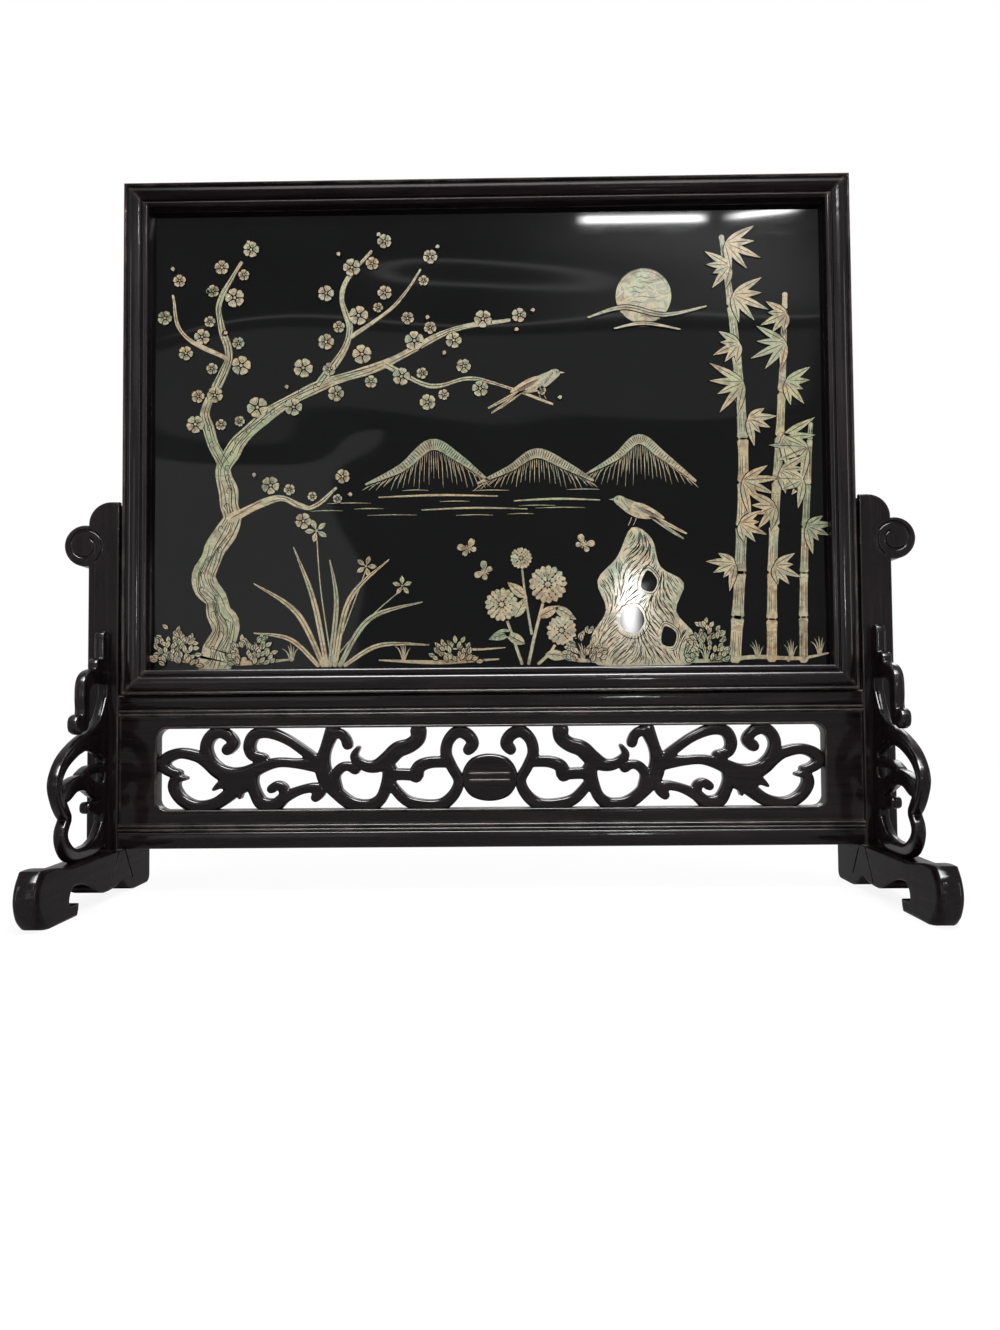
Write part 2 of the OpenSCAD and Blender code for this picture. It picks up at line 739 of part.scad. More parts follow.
// Side view of a foot, front towards the left
function foot_section() = let (
        bite = [toe_reach - bite_back, bite_z],
        toe_r = (toe_h * toe_h / 4 + toe_bulge * toe_bulge) / (2 * toe_bulge),
        toe_mid = [toe_reach - toe_r, toe_h / 2],
        toe_a = asin(toe_h / 2 / toe_r),
        toe_turn = -toe_a * toe_bow,
        toe_low = toe_mid + toe_r * [cos(toe_turn), sin(toe_turn)],
        toe_run = [sin(toe_turn), -cos(toe_turn)],
        toe_corner = toe_reach - toe_bulge,
        sole = toe_corner - toe_round,
        lip = bite[0] - lip_reach,
        rise = post_t / 2 + spandrel_reach,
        heel_front = -heel_reach + heel_r + heel_flat)
    concat(
        [[-heel_reach, foot_h]],
        handle_curve([rise - swell_before, foot_h], [rise, foot_h], [rise + swell_after, toe_h],
            [toe_corner, toe_h], corner_steps),
        arc(toe_mid, toe_r, toe_a, toe_turn, band_steps),
        handle_curve(toe_low, toe_low + toe_bow_handle * toe_run, [sole + toe_sole_handle, 0], [sole, 0],
            corner_steps),
        [[lip + lip_slope, 0], [lip + lip_round, lip_h / 2], [lip, lip_h],
            [bite[0] + bite_r - lip_hollow, lip_h + lip_round]],
        arc(bite, bite_r, 0, 90, corner_steps),
        handle_curve([bite[0] - bite_flat, bite_z + bite_r], [bite[0] - bite_handle, bite_z + bite_r],
            [drop_reach + drop_handle, drop_z], [drop_reach, drop_z], band_steps),
        handle_curve([drop_reach - drop_flat, drop_z], [drop_reach - notch_handle, drop_z],
            [notch_handle, drop_z], [0, notch_z], corner_steps),
        handle_curve([-notch_flat, notch_z], [-notch_handle, notch_z / 3], [heel_front + heel_handle, 0],
            [heel_front, 0], corner_steps),
        arc([-heel_reach + heel_r, heel_r], heel_r, 270, 180, corner_steps));

// Lines cut down the foot's inner side from its top, by reach and height
scribe_top = 4.5;
scribe_spread = 18;
scribe_foot = 7.5;

module foot_scribes() {
    for (dir = [-1, 1]) {
        run = [dir * (scribe_spread - scribe_top), foot_h - scribe_foot];
        translate([post_in - scribe_cut, -dir * scribe_spread, scribe_foot])
            rotate([-atan2(run[0], run[1]), 0, 0])
                translate([0, -scribe_cut / 2, 0]) cube([2 * scribe_cut, scribe_cut, norm(run)]);
    }
}

module foot() {
    difference() {
        along_x(post_in, post_w) polygon([for (p = foot_section()) [-p[0], p[1]]]);
        translate([0, 0, -cut]) linear_extrude(toe_h + 2 * cut)
            polygon([[post_out, -post_t / 2], [post_out - toe_taper, -toe_reach],
                [post_out - toe_taper, -toe_reach - cut], [post_out + cut, -toe_reach - cut],
                [post_out + cut, -post_t / 2]]);
        foot_scribes();
        post_tenon(mortise_clear);
        side_foot_peg(peg_clear);
        side_dowels(peg_clear);
    }
}

module left_foot() { color(wood) placed() mirror([1, 0, 0]) foot(); }

module right_foot() { color(wood) placed() foot(); }

// Spandrel drawing: distance before the post, height above the foot, width of the stroke
spandrel_strokes = [
    [[4.2, 126.6, 9.4], [4.2, 112, 9.4]],
    [[4, 110.5, 8], [14.4, 110.4, 8]],
    [[4, 104, 8], [20, 103.8, 8.5], [30, 100, 9.5], [32, 92, 9], [31.5, 84, 8.6], [33, 77, 9]],
    [[40.5, 76.3, 11], [39, 76.3, 11]],
    [[1.6, 106, 5], [1.2, 96, 4], [2, 88, 5.5], [3, 78, 9], [3.2, 66, 9], [3, 54, 6], [2.5, 46, 5],
        [3.5, 36, 8], [3.5, 20, 9], [3, 6, 8]],
    [[2, 90, 5], [8, 77, 9], [19, 70, 9.5], [32, 66, 9]],
    [[3, 61, 12], [17, 66, 12], [31, 66, 9.5]],
    [[32, 66, 9], [44, 62.5, 8], [56.2, 57, 7.4], [63.5, 51, 6.8], [66.9, 44, 6.6], [63.5, 36.4, 7],
        [58, 30, 7.2], [53.5, 26, 5]],
    [[53.5, 25, 5], [58.4, 18.5, 5.8], [57.6, 12.5, 7], [52, 6.8, 8], [44, 3.7, 7.4], [33, 3.2, 7.6],
        [22, 4, 8.6], [12, 7.5, 10], [4, 14, 12]],
    [[4, 36, 10], [17, 38, 8.5], [31, 43, 8.5], [44, 43, 8.5], [55, 39.5, 10], [62, 38, 7]],
    [[2, 50.5, 5], [14, 50, 4.5], [26, 49.5, 5], [36, 46, 5.5]],
    [[4, 28, 12], [16, 28, 7], [25.5, 28.3, 6.5]]
];

module spandrel_outline(reach) {
    intersection() {
        scale([reach / drawn_reach, spandrel_h / drawn_rise]) merged() strokes(spandrel_strokes);
        square([reach, spandrel_h]);
    }
}

// dir is -1 before the post and 1 behind it
module spandrel(dir, reach) {
    difference() {
        along_x(post_in + spandrel_inset, spandrel_t)
            offset(delta = -merge) merged()
                translate([dir * post_t / 2, foot_h]) scale([dir, 1]) spandrel_outline(reach);
        spandrel_dowel_pair(dir, reach, peg_clear);
    }
}

module front_left_spandrel() { color(wood) placed() mirror([1, 0, 0]) spandrel(-1, spandrel_reach); }

module front_right_spandrel() { color(wood) placed() spandrel(-1, spandrel_reach); }

module rear_left_spandrel() { color(wood) placed() mirror([1, 0, 0]) spandrel(1, rear_spandrel_reach); }

module rear_right_spandrel() { color(wood) placed() spandrel(1, rear_spandrel_reach); }

// Moulded front of a rail with a band between each two levels, in depth and height
function rail_bands(levels) = let (top = len(levels) - 1)
    [for (i = [0:top - 1])
        let (low = levels[i] + (i > 0 ? quirk_w / 2 : 0),
            high = levels[i + 1] - (i < top - 1 ? quirk_w / 2 : 0))
        for (p = band(low, high, rail_quirk_depth, 0)) [p[1] - rail_t / 2, p[0]]];

module rail(levels) {
    low = levels[0];
    high = levels[len(levels) - 1];
    difference() {
        union() {
            along_x(-post_in, 2 * post_in)
                polygon(concat(rail_bands(levels), [[rail_t / 2, high], [rail_t / 2, low]]));
            both_sides() rail_tenon(low, high - low, 0);
        }
        both_sides() side_rail_pegs(peg_clear);
        fret_tongues();
    }
}

module upper_rail() {
    color(wood) placed()
        rail([upper_rail_low, upper_rail_low + rail_bead_h, upper_rail_low + 2 * rail_bead_h, screen_z]);
}

module lower_rail() {
    color(wood) placed()
        rail([rail_lift, lower_rail_top - 2 * rail_bead_h, lower_rail_top - rail_bead_h, lower_rail_top]);
}

// Tongues along the pierced board's long edges, rooted in the board
module fret_tongues() {
    for (z = [lower_rail_top - fret_tongue_h, upper_rail_low - cut])
        translate([-post_in, -fret_tongue_t / 2, z])
            cube([2 * post_in, fret_tongue_t, fret_tongue_h + cut]);
}

function rounded_box(w, h, r) = concat(
    arc([w / 2 - r, h / 2 - r], r, 0, 90, corner_steps),
    arc([-w / 2 + r, h / 2 - r], r, 90, 180, corner_steps),
    arc([-w / 2 + r, -h / 2 + r], r, 180, 270, corner_steps),
    arc([w / 2 - r, -h / 2 + r], r, 270, 360, corner_steps));

opening_w = 2 * (post_in - fret_end);
opening_h = fret_h - fret_top_border - fret_low_border;
opening_z = lower_rail_top + fret_low_border + opening_h / 2;

// Scroll drawing of one half: distance from the middle, height, width of the stroke
drawn_w = 397;
drawn_h = 48;
scrolls = [
    [[104, 2, 8], [116, 3, 5], [127, 3.5, 5], [138, 0.5, 7], [147, -4, 10], [155, -4.5, 10], [163, -1, 8],
        [169, 4, 7], [175, 7.5, 6], [185, 9.5, 5.5], [193, 7, 6], [196, 2.5, 6], [191.5, -1.5, 5],
        [187, -2.5, 4]],
    [[94, 22, 8], [98, 12, 6], [100, 3, 8], [98, -6, 9], [91, -15, 7], [82, -21.5, 7], [72, -22.5, 7],
        [65, -18, 6], [61.5, -9, 6], [60.5, -2, 6]],
    [[97, 15, 5], [94.5, 19.5, 5.5], [90, 20.5, 5], [86.5, 18, 5], [85, 14, 5.5]],
    [[91, -13, 5], [92.5, -5, 5], [89, 0, 5], [84.5, 1, 4.5], [80.5, -1, 5]],
    [[78.5, 12, 1.5], [81, 6.5, 4], [75, 1.5, 5.5], [68, 1, 7], [61, 5, 9], [55, 10.5, 9], [48, 13, 8],
        [43, 17, 8], [42.5, 22, 9]],
    [[62, 3, 6], [58.5, -3, 6.5], [60, -10, 5]],
    [[59, -10, 5], [50.5, -19, 5.5], [40, -22.5, 6.5], [29, -22, 6.5], [21.5, -16, 6], [18.5, -8, 5.5],
        [22.5, 0, 5.5], [26, 8, 6], [24.5, 16, 6], [19, 21, 6.5], [12.8, 19, 6.5], [10, 14, 6.5],
        [12.5, 10.5, 6]],
    [[25, 3, 5.5], [35, 3, 6], [42, 0.5, 7], [44, -4.5, 8]],
    [[44, -4.5, 6], [51, -4, 6], [58, -4, 6]],
    [[102, 3, 6], [112, 11, 5], [122, 17.5, 5], [133, 21.5, 6], [141, 20, 6], [144, 13.5, 6], [142, 8, 5.5],
        [136, 6, 5.5]],
    [[160, -3, 8], [167, 4, 6.5], [170, 12, 6], [168, 18.5, 6], [162.5, 22, 6.5], [156.5, 19.5, 5.5],
        [153.5, 15, 5.5], [157, 11.5, 6]],
    [[144, -6, 10], [152, -10, 11], [160, -9, 5], [165, -12, 1]],
    [[150, -11, 7], [149.5, -17, 1]],
    [[151, -11, 8], [163, -20, 6.5], [175, -22.5, 6.5], [184, -18.5, 6], [189, -11.5, 6], [188, -6, 5],
        [182.5, -5.5, 1.5]],
    [[144, -4, 8], [141, -13, 6], [136.5, -20.5, 7], [128.5, -21.5, 7], [122.5, -17, 6], [113.5, -13, 4.5],
        [105, -11.5, 5], [101.5, -13.5, 6], [104, -17, 5]],
    [[123, -17, 5], [123.5, -12, 5], [127, -10, 4.5], [130.5, -12, 4.5]]
];
medallion = [[16.8, -6], [11.8, 4.6], [0, 8], [-11.8, 4.6], [-16.8, -6], [-11.8, -16.6], [0, -20],
    [11.8, -16.6]];
// Ribs across the medallion: heights in the drawing, length, thickness and relief
medallion_ribs = [-4, -8];
medallion_rib_w = 24;
medallion_rib_h = 1.2;
medallion_rib_out = 0.8;

module scroll_half() {
    scale([opening_w / drawn_w, opening_h / drawn_h]) strokes(scrolls);
}

module fret_outline() {
    merged() intersection() {
        translate([-post_in, lower_rail_top]) square([2 * post_in, fret_h]);
        union() {
            difference() {
                translate([-post_in, lower_rail_top]) square([2 * post_in, fret_h]);
                translate([0, opening_z]) polygon(rounded_box(opening_w, opening_h, fret_corner_r));
            }
            translate([0, opening_z]) intersection() {
                square([opening_w + fret_corner_r, opening_h + fret_corner_r], center = true);
                union() {
                    scroll_half();
                    mirror([1, 0]) scroll_half();
                    scale([opening_w / drawn_w, opening_h / drawn_h]) polygon(closed_curve(medallion));
                }
            }
        }
    }
}

// Raised bead around the opening
module fret_bead() {
    along_y(-fret_t / 2 - fret_bead_h, fret_bead_h) translate([0, opening_z]) difference() {
        polygon(rounded_box(opening_w + 2 * fret_bead_w, opening_h + 2 * fret_bead_w,
            fret_corner_r + fret_bead_w));
        polygon(rounded_box(opening_w, opening_h, fret_corner_r));
    }
}

// Two ribs across the medallion
module fret_ribs() {
    front = -fret_t / 2 - medallion_rib_out;
    for (h = medallion_ribs)
        translate([-medallion_rib_w / 2, front, opening_z + h * opening_h / drawn_h])
            cube([medallion_rib_w, medallion_rib_out + cut, medallion_rib_h]);
}

module fret_panel() {
    color(wood) placed() {
        along_y(-fret_t / 2, fret_t) offset(delta = -merge) fret_outline();
        fret_bead();
        fret_ribs();
        fret_tongues();
    }
}

module rail_pegs() { color(bamboo_peg) placed() both_sides() side_rail_pegs(0); }

module foot_pegs() { color(bamboo_peg) placed() both_sides() side_foot_peg(0); }

module spandrel_dowels() { color(bamboo_peg) placed() both_sides() side_dowels(0); }

frame_left_stile();
frame_right_stile();
frame_top_rail();
frame_bottom_rail();
frame_corner_splines();
left_tongue_strip();
right_tongue_strip();
lacquer_panel();
back_board();
back_board_brads();
inlay_moon();
inlay_hills();
inlay_plum_branches();
inlay_plum_blossoms();
inlay_bamboo();
inlay_rock();
inlay_orchids();
inlay_chrysanthemums();
inlay_birds();
left_post();
right_post();
left_foot();
right_foot();
front_left_spandrel();
front_right_spandrel();
rear_left_spandrel();
rear_right_spandrel();
upper_rail();
lower_rail();
fret_panel();
rail_pegs();
foot_pegs();
spandrel_dowels();
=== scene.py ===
import math
import random

import bmesh
import bpy
from mathutils import Matrix, Vector


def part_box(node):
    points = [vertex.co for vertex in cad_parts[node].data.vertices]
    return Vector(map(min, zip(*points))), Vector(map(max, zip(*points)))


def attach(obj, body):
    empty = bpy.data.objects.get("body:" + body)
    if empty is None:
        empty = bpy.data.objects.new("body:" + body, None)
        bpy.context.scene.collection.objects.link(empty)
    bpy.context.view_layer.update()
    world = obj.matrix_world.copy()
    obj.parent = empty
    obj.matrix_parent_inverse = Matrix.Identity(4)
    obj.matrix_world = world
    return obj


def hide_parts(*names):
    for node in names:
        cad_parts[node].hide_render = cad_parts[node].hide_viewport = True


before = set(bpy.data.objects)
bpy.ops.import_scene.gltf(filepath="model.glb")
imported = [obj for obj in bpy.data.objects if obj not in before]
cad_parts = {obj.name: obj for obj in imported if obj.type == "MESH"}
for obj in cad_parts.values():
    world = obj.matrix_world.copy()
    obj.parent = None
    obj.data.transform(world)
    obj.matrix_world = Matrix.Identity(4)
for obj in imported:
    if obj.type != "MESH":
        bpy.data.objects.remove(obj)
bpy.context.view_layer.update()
scene = bpy.context.scene

# Millimetres are used for all shapes below
MM = 0.001


def box_mm(node):
    low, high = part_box(node)
    return low / MM, high / MM


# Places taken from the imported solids
stile_low, stile_high = box_mm("frame_right_stile")
frame_rail_low, frame_rail_high = box_mm("frame_bottom_rail")
post_low, post_high = box_mm("right_post")
foot_high = box_mm("right_foot")[1]
lower_low, lower_high = box_mm("lower_rail")
upper_low, upper_high = box_mm("upper_rail")
panel_low = box_mm("lacquer_panel")[0]

SCREEN_HALF = stile_high.x
SCREEN_Z = stile_low.z
SCREEN_TOP = stile_high.z
FRAME_FACE = frame_rail_high.z - frame_rail_low.z
FRAME_FRONT = stile_low.y
FRAME_T = stile_high.y - stile_low.y
PANEL_FRONT = panel_low.y
POST_IN = post_low.x
POST_FRONT = post_low.y
POST_BACK = post_high.y
POST_MID = (POST_FRONT + POST_BACK) / 2
POST_TOP = post_high.z
POST_OUT = foot_high.x
FOOT_W = POST_OUT - POST_IN
SIGHT_Z = SCREEN_Z + FRAME_FACE

# Frame mouldings
OUTER_BAND_W = 1.9
MIDDLE_BAND_W = 8.5
QUIRK_W = 0.5
QUIRK_DEPTH = 1.9
OUTER_BAND_DROP = 0.9
BEAD_DROP = 0.5
PANEL_RECESS = 9
RABBET_W = 6
MITRE_GAP = 0.05
BACK_CHAMFER = 0.8
BAND_STEPS = 16

# Posts
SHOULDER_R = 13.5
EAR_R = 12.45
EAR_OUT = 2.2
EAR_DROP = 26.5
FOOT_H = 27
GROOVE_T = 8.6
GROOVE_DEEP = 4.5
POST_EDGE_R = 0.9
EAR_TURNS = 1.3
EAR_GROOVE_R = 1.15
EAR_GROOVE_END = 11.4
EAR_GROOVE_EYE = 5.2
EAR_GROOVE_FROM = 236
EAR_STEPS = 64
CUT_PAST = 1

# Rails and pierced board
RAIL_BEAD_H = 2.2
RAIL_QUIRK_DEPTH = 1.4
FRET_T = 10
FRET_END = 22.5
FRET_TOP_BORDER = 7.4
FRET_LOW_BORDER = 8.4
FRET_CORNER_R = 6
FRET_BEAD_W = 1.6
FRET_BEAD_H = 0.8
SCROLL_T = 9.4
SCROLL_GROW = 1.2

# Feet
TOE_REACH = 112.95
HEEL_REACH = 48
TOE_H = 30.5
TOE_BULGE = 8
TOE_ROUND = 8
TOE_BOW = 0.5
TOE_TAPER = 5.5
BITE_R = 7.6
BITE_Z = 8.9
BITE_BACK = 47
LIP_H = 6.5
LIP_REACH = 4.5
DROP_Z = 5.5
DROP_REACH = 24
NOTCH_Z = 8.5
HEEL_FLAT = 20
HEEL_R = 5
FOOT_EDGE_R = 1.1
TOE_EDGE_R = 4.2
TOE_LOW_R = 6.5
TOE_SOFT = 16
TOE_SOFT_RATE = 1.6
LIP_FOOT = 2
LIP_BULGE = 0.5
BITE_LIP = 1.2
SCRIBE_CUT = 0.7
SCRIBE_W = 1.8
SCRIBE_TOP = 4.5
SCRIBE_SPREAD = 18
SCRIBE_FOOT = 7.5

# Runs and handles of the curves in the foot's outline, and their steps
RISE_RUN = 12
RISE_PULL = 4
TOE_PULL = 5
SOLE_PULL = 7
ARCH_PULL = 18
ARCH_END_PULL = 11
DROP_PULL = 9
HEEL_PULL = 8
CURVE_GAP = 1
CURVE_STEPS = 8
BITE_STEPS = 10
ARCH_STEPS = 14

# Spandrels
SPANDREL_T = 6.5
SPANDREL_INSET = 5
SPANDREL_REACH = 71.5
REAR_REACH = 34
SPANDREL_H = 131.5
SPANDREL_GROW = 0.7

# Carved strokes: squareness of the section, steps, and how they are joined and softened
SPANDREL_SQUARE = 0.4
SPANDREL_VOXEL = 0.45
SPANDREL_ROUNDS = 5
SCROLL_SQUARE = 0.42
SCROLL_VOXEL = 0.5
SCROLL_ROUNDS = 4
SCROLL_TUCK = 1
STROKE_STEPS = 6
KEPT_SHARE = 0.3

LOWER_TOP = lower_high.z
UPPER_LOW = upper_low.z
OPENING_W = 2 * (POST_IN - FRET_END)
OPENING_H = UPPER_LOW - LOWER_TOP - FRET_TOP_BORDER - FRET_LOW_BORDER
OPENING_Z = LOWER_TOP + FRET_LOW_BORDER + OPENING_H / 2


# Curves

def blend(a, b, c, d, t):
    return tuple(
        0.5 * (2 * q + (r - p) * t + (2 * p - 5 * q + 4 * r - s) * t * t
               + (3 * q - p - 3 * r + s) * t ** 3)
        for p, q, r, s in zip(a, b, c, d))


def open_curve(points, steps):
    last = len(points) - 1
    curve = []
    for i in range(last):
        before = points[max(i - 1, 0)]
        after = points[min(i + 2, last)]
        for j in range(steps):
            curve.append(blend(before, points[i], points[i + 1], after, j / steps))
    curve.append(tuple(points[last]))
    return curve


def closed_curve(points, steps):
    count = len(points)
    return [blend(points[i - 1], points[i], points[(i + 1) % count], points[(i + 2) % count], j / steps)
            for i in range(count) for j in range(steps)]


def arc(centre, radius, start, stop, steps):
    angles = [math.radians(start + (stop - start) * i / steps) for i in range(steps + 1)]
    return [(centre[0] + radius * math.cos(a), centre[1] + radius * math.sin(a)) for a in angles]


def handle_curve(a, b, c, d, steps):
    curve = []
    for i in range(steps + 1):
        t = i / steps
        s = 1 - t
        curve.append(tuple(s ** 3 * p + 3 * s * s * t * q + 3 * s * t * t * r + t ** 3 * u
                           for p, q, r, u in zip(a, b, c, d)))
    return curve


# Direction of a curve at one of its points
def course(curve, i):
    ahead = curve[min(i + 1, len(curve) - 1)]
    behind = curve[max(i - 1, 0)]
    return Vector((ahead[0] - behind[0], ahead[1] - behind[1])).normalized()


def band(start, stop, spring, crest):
    points = []
    for i in range(BAND_STEPS + 1):
        a = math.pi * i / BAND_STEPS
        points.append(((start + stop) / 2 - (stop - start) / 2 * math.cos(a),
                       spring - (spring - crest) * math.sin(a)))
    return points


# Mesh making

class Shape:
    def __init__(self):
        self.points = []
        self.faces = []

    def add(self, points, faces):
        base = len(self.points)
        self.points.extend(points)
        self.faces.extend([[base + i for i in face] for face in faces])

    def loft(self, rings, capped=True):
        count = len(rings[0])
        points = [point for ring in rings for point in ring]
        faces = []
        for r in range(len(rings) - 1):
            for i in range(count):
                j = (i + 1) % count
                faces.append([r * count + i, r * count + j, (r + 1) * count + j, (r + 1) * count + i])
        if capped:
            last = (len(rings) - 1) * count
            faces.append(list(range(count)))
            faces.append([last + i for i in range(count)])
        self.add(points, faces)


# Edges flatter than these angles are shaded smooth
SMOOTH_ANGLE = math.radians(32)
MOULDING_ANGLE = math.radians(40)
CARVING_ANGLE = math.radians(60)
CHIP_ANGLE = math.radians(25)
WELD = 0.002
SMOOTH_FACTOR = 0.5


def to_object(name, shape):
    mesh = bpy.data.meshes.new(name)
    mesh.from_pydata([Vector(p) * MM for p in shape.points], [], shape.faces)
    work = bmesh.new()
    work.from_mesh(mesh)
    bmesh.ops.remove_doubles(work, verts=work.verts, dist=WELD * MM)
    bmesh.ops.recalc_face_normals(work, faces=work.faces)
    work.to_mesh(mesh)
    work.free()
    obj = bpy.data.objects.new(name, mesh)
    scene.collection.objects.link(obj)
    return obj


def apply_modifiers(obj):
    depsgraph = bpy.context.evaluated_depsgraph_get()
    mesh = bpy.data.meshes.new_from_object(obj.evaluated_get(depsgraph))
    old = obj.data
    obj.modifiers.clear()
    obj.data = mesh
    bpy.data.meshes.remove(old)


def carve(obj, cutter):
    modifier = obj.modifiers.new("carve", "BOOLEAN")
    modifier.operation = "DIFFERENCE"
    modifier.solver = "EXACT"
    modifier.object = cutter
    apply_modifiers(obj)
    bpy.data.objects.remove(cutter)


def soften(obj, voxel, rounds, keep):
    remesh = obj.modifiers.new("join", "REMESH")
    remesh.mode = "VOXEL"
    remesh.voxel_size = voxel * MM
    smooth = obj.modifiers.new("smooth", "SMOOTH")
    smooth.factor = SMOOTH_FACTOR
    smooth.iterations = rounds
    thin = obj.modifiers.new("thin", "DECIMATE")
    thin.ratio = keep
    apply_modifiers(obj)


def dress(obj, body, material, nodes, angle=SMOOTH_ANGLE):
    obj.data.shade_smooth()
    obj.data.set_sharp_from_angle(angle=angle)
    obj.data.materials.clear()
    obj.data.materials.append(material)
    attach(obj, body)
    if nodes:
        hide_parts(*nodes)
    return obj


def mirrored(obj, name):
    mesh = obj.data.copy()
    mesh.name = name
    mesh.transform(Matrix.Scale(-1, 4, Vector((1, 0, 0))))
    mesh.flip_normals()
    twin = bpy.data.objects.new(name, mesh)
    scene.collection.objects.link(twin)
    return twin


# Outline moved inwards, each edge by its own distance
CORNER_TURN = 0.5


def inset(outline, distances):
    count = len(outline)
    area = sum(outline[i - 1][0] * outline[i][1] - outline[i][0] * outline[i - 1][1]
               for i in range(count))
    turn = 1 if area > 0 else -1
    normals = []
    for i in range(count):
        a = Vector(outline[i])
        b = Vector(outline[(i + 1) % count])
        run = (b - a).normalized()
        normals.append(Vector((-run.y, run.x)) * turn)
    moved = []
    for i in range(count):
        before = normals[i - 1]
        after = normals[i]
        d0 = distances[i - 1]
        d1 = distances[i]
        det = before.x * after.y - before.y * after.x
        if abs(det) < CORNER_TURN:
            middle = (before + after).normalized()
            shift = middle * (d0 + d1) / 2 / middle.dot(before)
        else:
            shift = Vector(((d0 * after.y - d1 * before.y) / det,
                            (before.x * d1 - after.x * d0) / det))
        moved.append((outline[i][0] + shift.x, outline[i][1] + shift.y))
    return moved


EDGE_STEPS = 4
EDGE_HOLD = 0.3


# Prism with rounded rims: place turns outline and depth into a point
def rounded_prism(outline, depth_a, depth_b, radii, place):
    rings = []
    for side, depth in ((1, depth_a), (-1, depth_b)):
        held = inset(outline, [r + EDGE_HOLD for r in radii])
        ring_set = [[place(u, v, depth) for u, v in held]]
        for k in range(EDGE_STEPS + 1):
            a = math.pi / 2 * k / EDGE_STEPS
            ring = inset(outline, [r * (1 - math.sin(a)) for r in radii])
            count = len(outline)
            sink = [(radii[i - 1] + radii[i]) / 2 * (1 - math.cos(a)) for i in range(count)]
            ring_set.append([place(u, v, depth + side * down) for (u, v), down in zip(ring, sink)])
        rings.append(ring_set)
    shape = Shape()
    shape.loft(rings[0] + rings[1][::-1])
    return shape


# Swept bar with a rounded section along points of place and width
SECTION_SIDES = 14
CAP_ANGLES = (40, 70)
CAP_THICK = 0.7
CAP_THIN = 0.3


def signed_power(value, power):
    return math.copysign(abs(value) ** power, value)


def stroke_bar(shape, points, thick, square, steps, place, grow=0):
    curve = [(u, v, w + grow) for u, v, w in open_curve(points, steps)]
    stations = [(u, v, w, course(curve, i), 1) for i, (u, v, w) in enumerate(curve)]
    caps = []
    for (u, v, w, run, full), way in ((stations[0], -1), (stations[-1], 1)):
        cap = []
        for angle in CAP_ANGLES:
            a = math.radians(angle)
            reach = math.sin(a) / 2
            end_u = u + way * (run.x * w * reach)
            end_v = v + way * (run.y * w * reach)
            cap.append((end_u, end_v, w, run, math.cos(a)))
        caps.append(cap)
    rings = []
    for u, v, w, run, size in caps[0][::-1] + stations + caps[1]:
        ring = []
        for k in range(SECTION_SIDES):
            a = 2 * math.pi * k / SECTION_SIDES
            across = signed_power(math.cos(a), square) * w / 2 * size
            up = signed_power(math.sin(a), square) * thick / 2 * (CAP_THICK + CAP_THIN * size)
            ring.append(place(u - run.y * across, v + run.x * across, up))
        rings.append(ring)
    shape.loft(rings)


# Shader graph of a material, the world or a lamp: an input takes a value or another node's output
class Graph:
    def __init__(self, tree):
        self.nodes = tree.nodes
        self.links = tree.links

    def feed(self, node, inputs):
        for name, value in inputs.items():
            if isinstance(value, bpy.types.NodeSocket):
                self.links.new(value, node.inputs[name])
            else:
                node.inputs[name].default_value = value

    def node(self, kind, inputs=None, **settings):
        node = self.nodes.new("ShaderNode" + kind)
        for name, value in settings.items():
            setattr(node, name, value)
        self.feed(node, inputs or {})
        return node

    def coords(self, scale=(1, 1, 1)):
        place = self.node("TexCoord").outputs["Object"]
        return self.node("Mapping", {"Vector": place, "Scale": scale}).outputs["Vector"]

    def noise(self, vector, scale, detail=5, rough=0.55, warp=0):
        inputs = {"Vector": vector, "Scale": scale, "Detail": detail, "Roughness": rough,
                  "Distortion": warp}
        return self.node("TexNoise", inputs).outputs["Fac"]

    def ramp(self, value, *stops):
        node = self.node("ValToRGB", {"Fac": value})
        elements = node.color_ramp.elements
        while len(elements) < len(stops):
            elements.new(0.5)
        for element, (at, colour) in zip(elements, stops):
            element.position = at
            element.color = (*colour, 1)
        return node.outputs["Color"]

    def spread(self, value, to, over=(0.25, 0.75), shape="LINEAR"):
        inputs = {"Value": value, "From Min": over[0], "From Max": over[1],
                  "To Min": to[0], "To Max": to[1]}
        return self.node("MapRange", inputs, interpolation_type=shape).outputs["Result"]

    def maths(self, operation, first, second, clamp=False):
        inputs = {0: first, 1: second}
        return self.node("Math", inputs, operation=operation, use_clamp=clamp).outputs["Value"]

    def blended(self, factor, first, second, kind="MULTIPLY"):
        inputs = {"Factor": factor, "A": first, "B": second}
        return self.node("Mix", inputs, data_type="RGBA", blend_type=kind).outputs["Result"]

    def bump(self, height, strength, distance, normal=None):
        inputs = {"Height": height, "Strength": strength, "Distance": distance}
        if normal is not None:
            inputs["Normal"] = normal
        return self.node("Bump", inputs).outputs["Normal"]

    def split(self, vector):
        return self.node("SeparateXYZ", {"Vector": vector}).outputs

    def geometry(self, output):
        return self.node("NewGeometry").outputs[output]

    # One for what is seen straight or in a reflection, nothing for light that falls on a surface
    def seen(self):
        path = self.node("LightPath").outputs
        return self.maths("ADD", path["Is Camera Ray"], path["Is Glossy Ray"], True)


class Paint(Graph):
    def __init__(self, name):
        self.material = bpy.data.materials.new(name)
        self.material.use_nodes = True
        super().__init__(self.material.node_tree)
        self.shader = self.nodes["Principled BSDF"]

    def shaded(self, looks):
        self.feed(self.shader, looks)
        return self.material


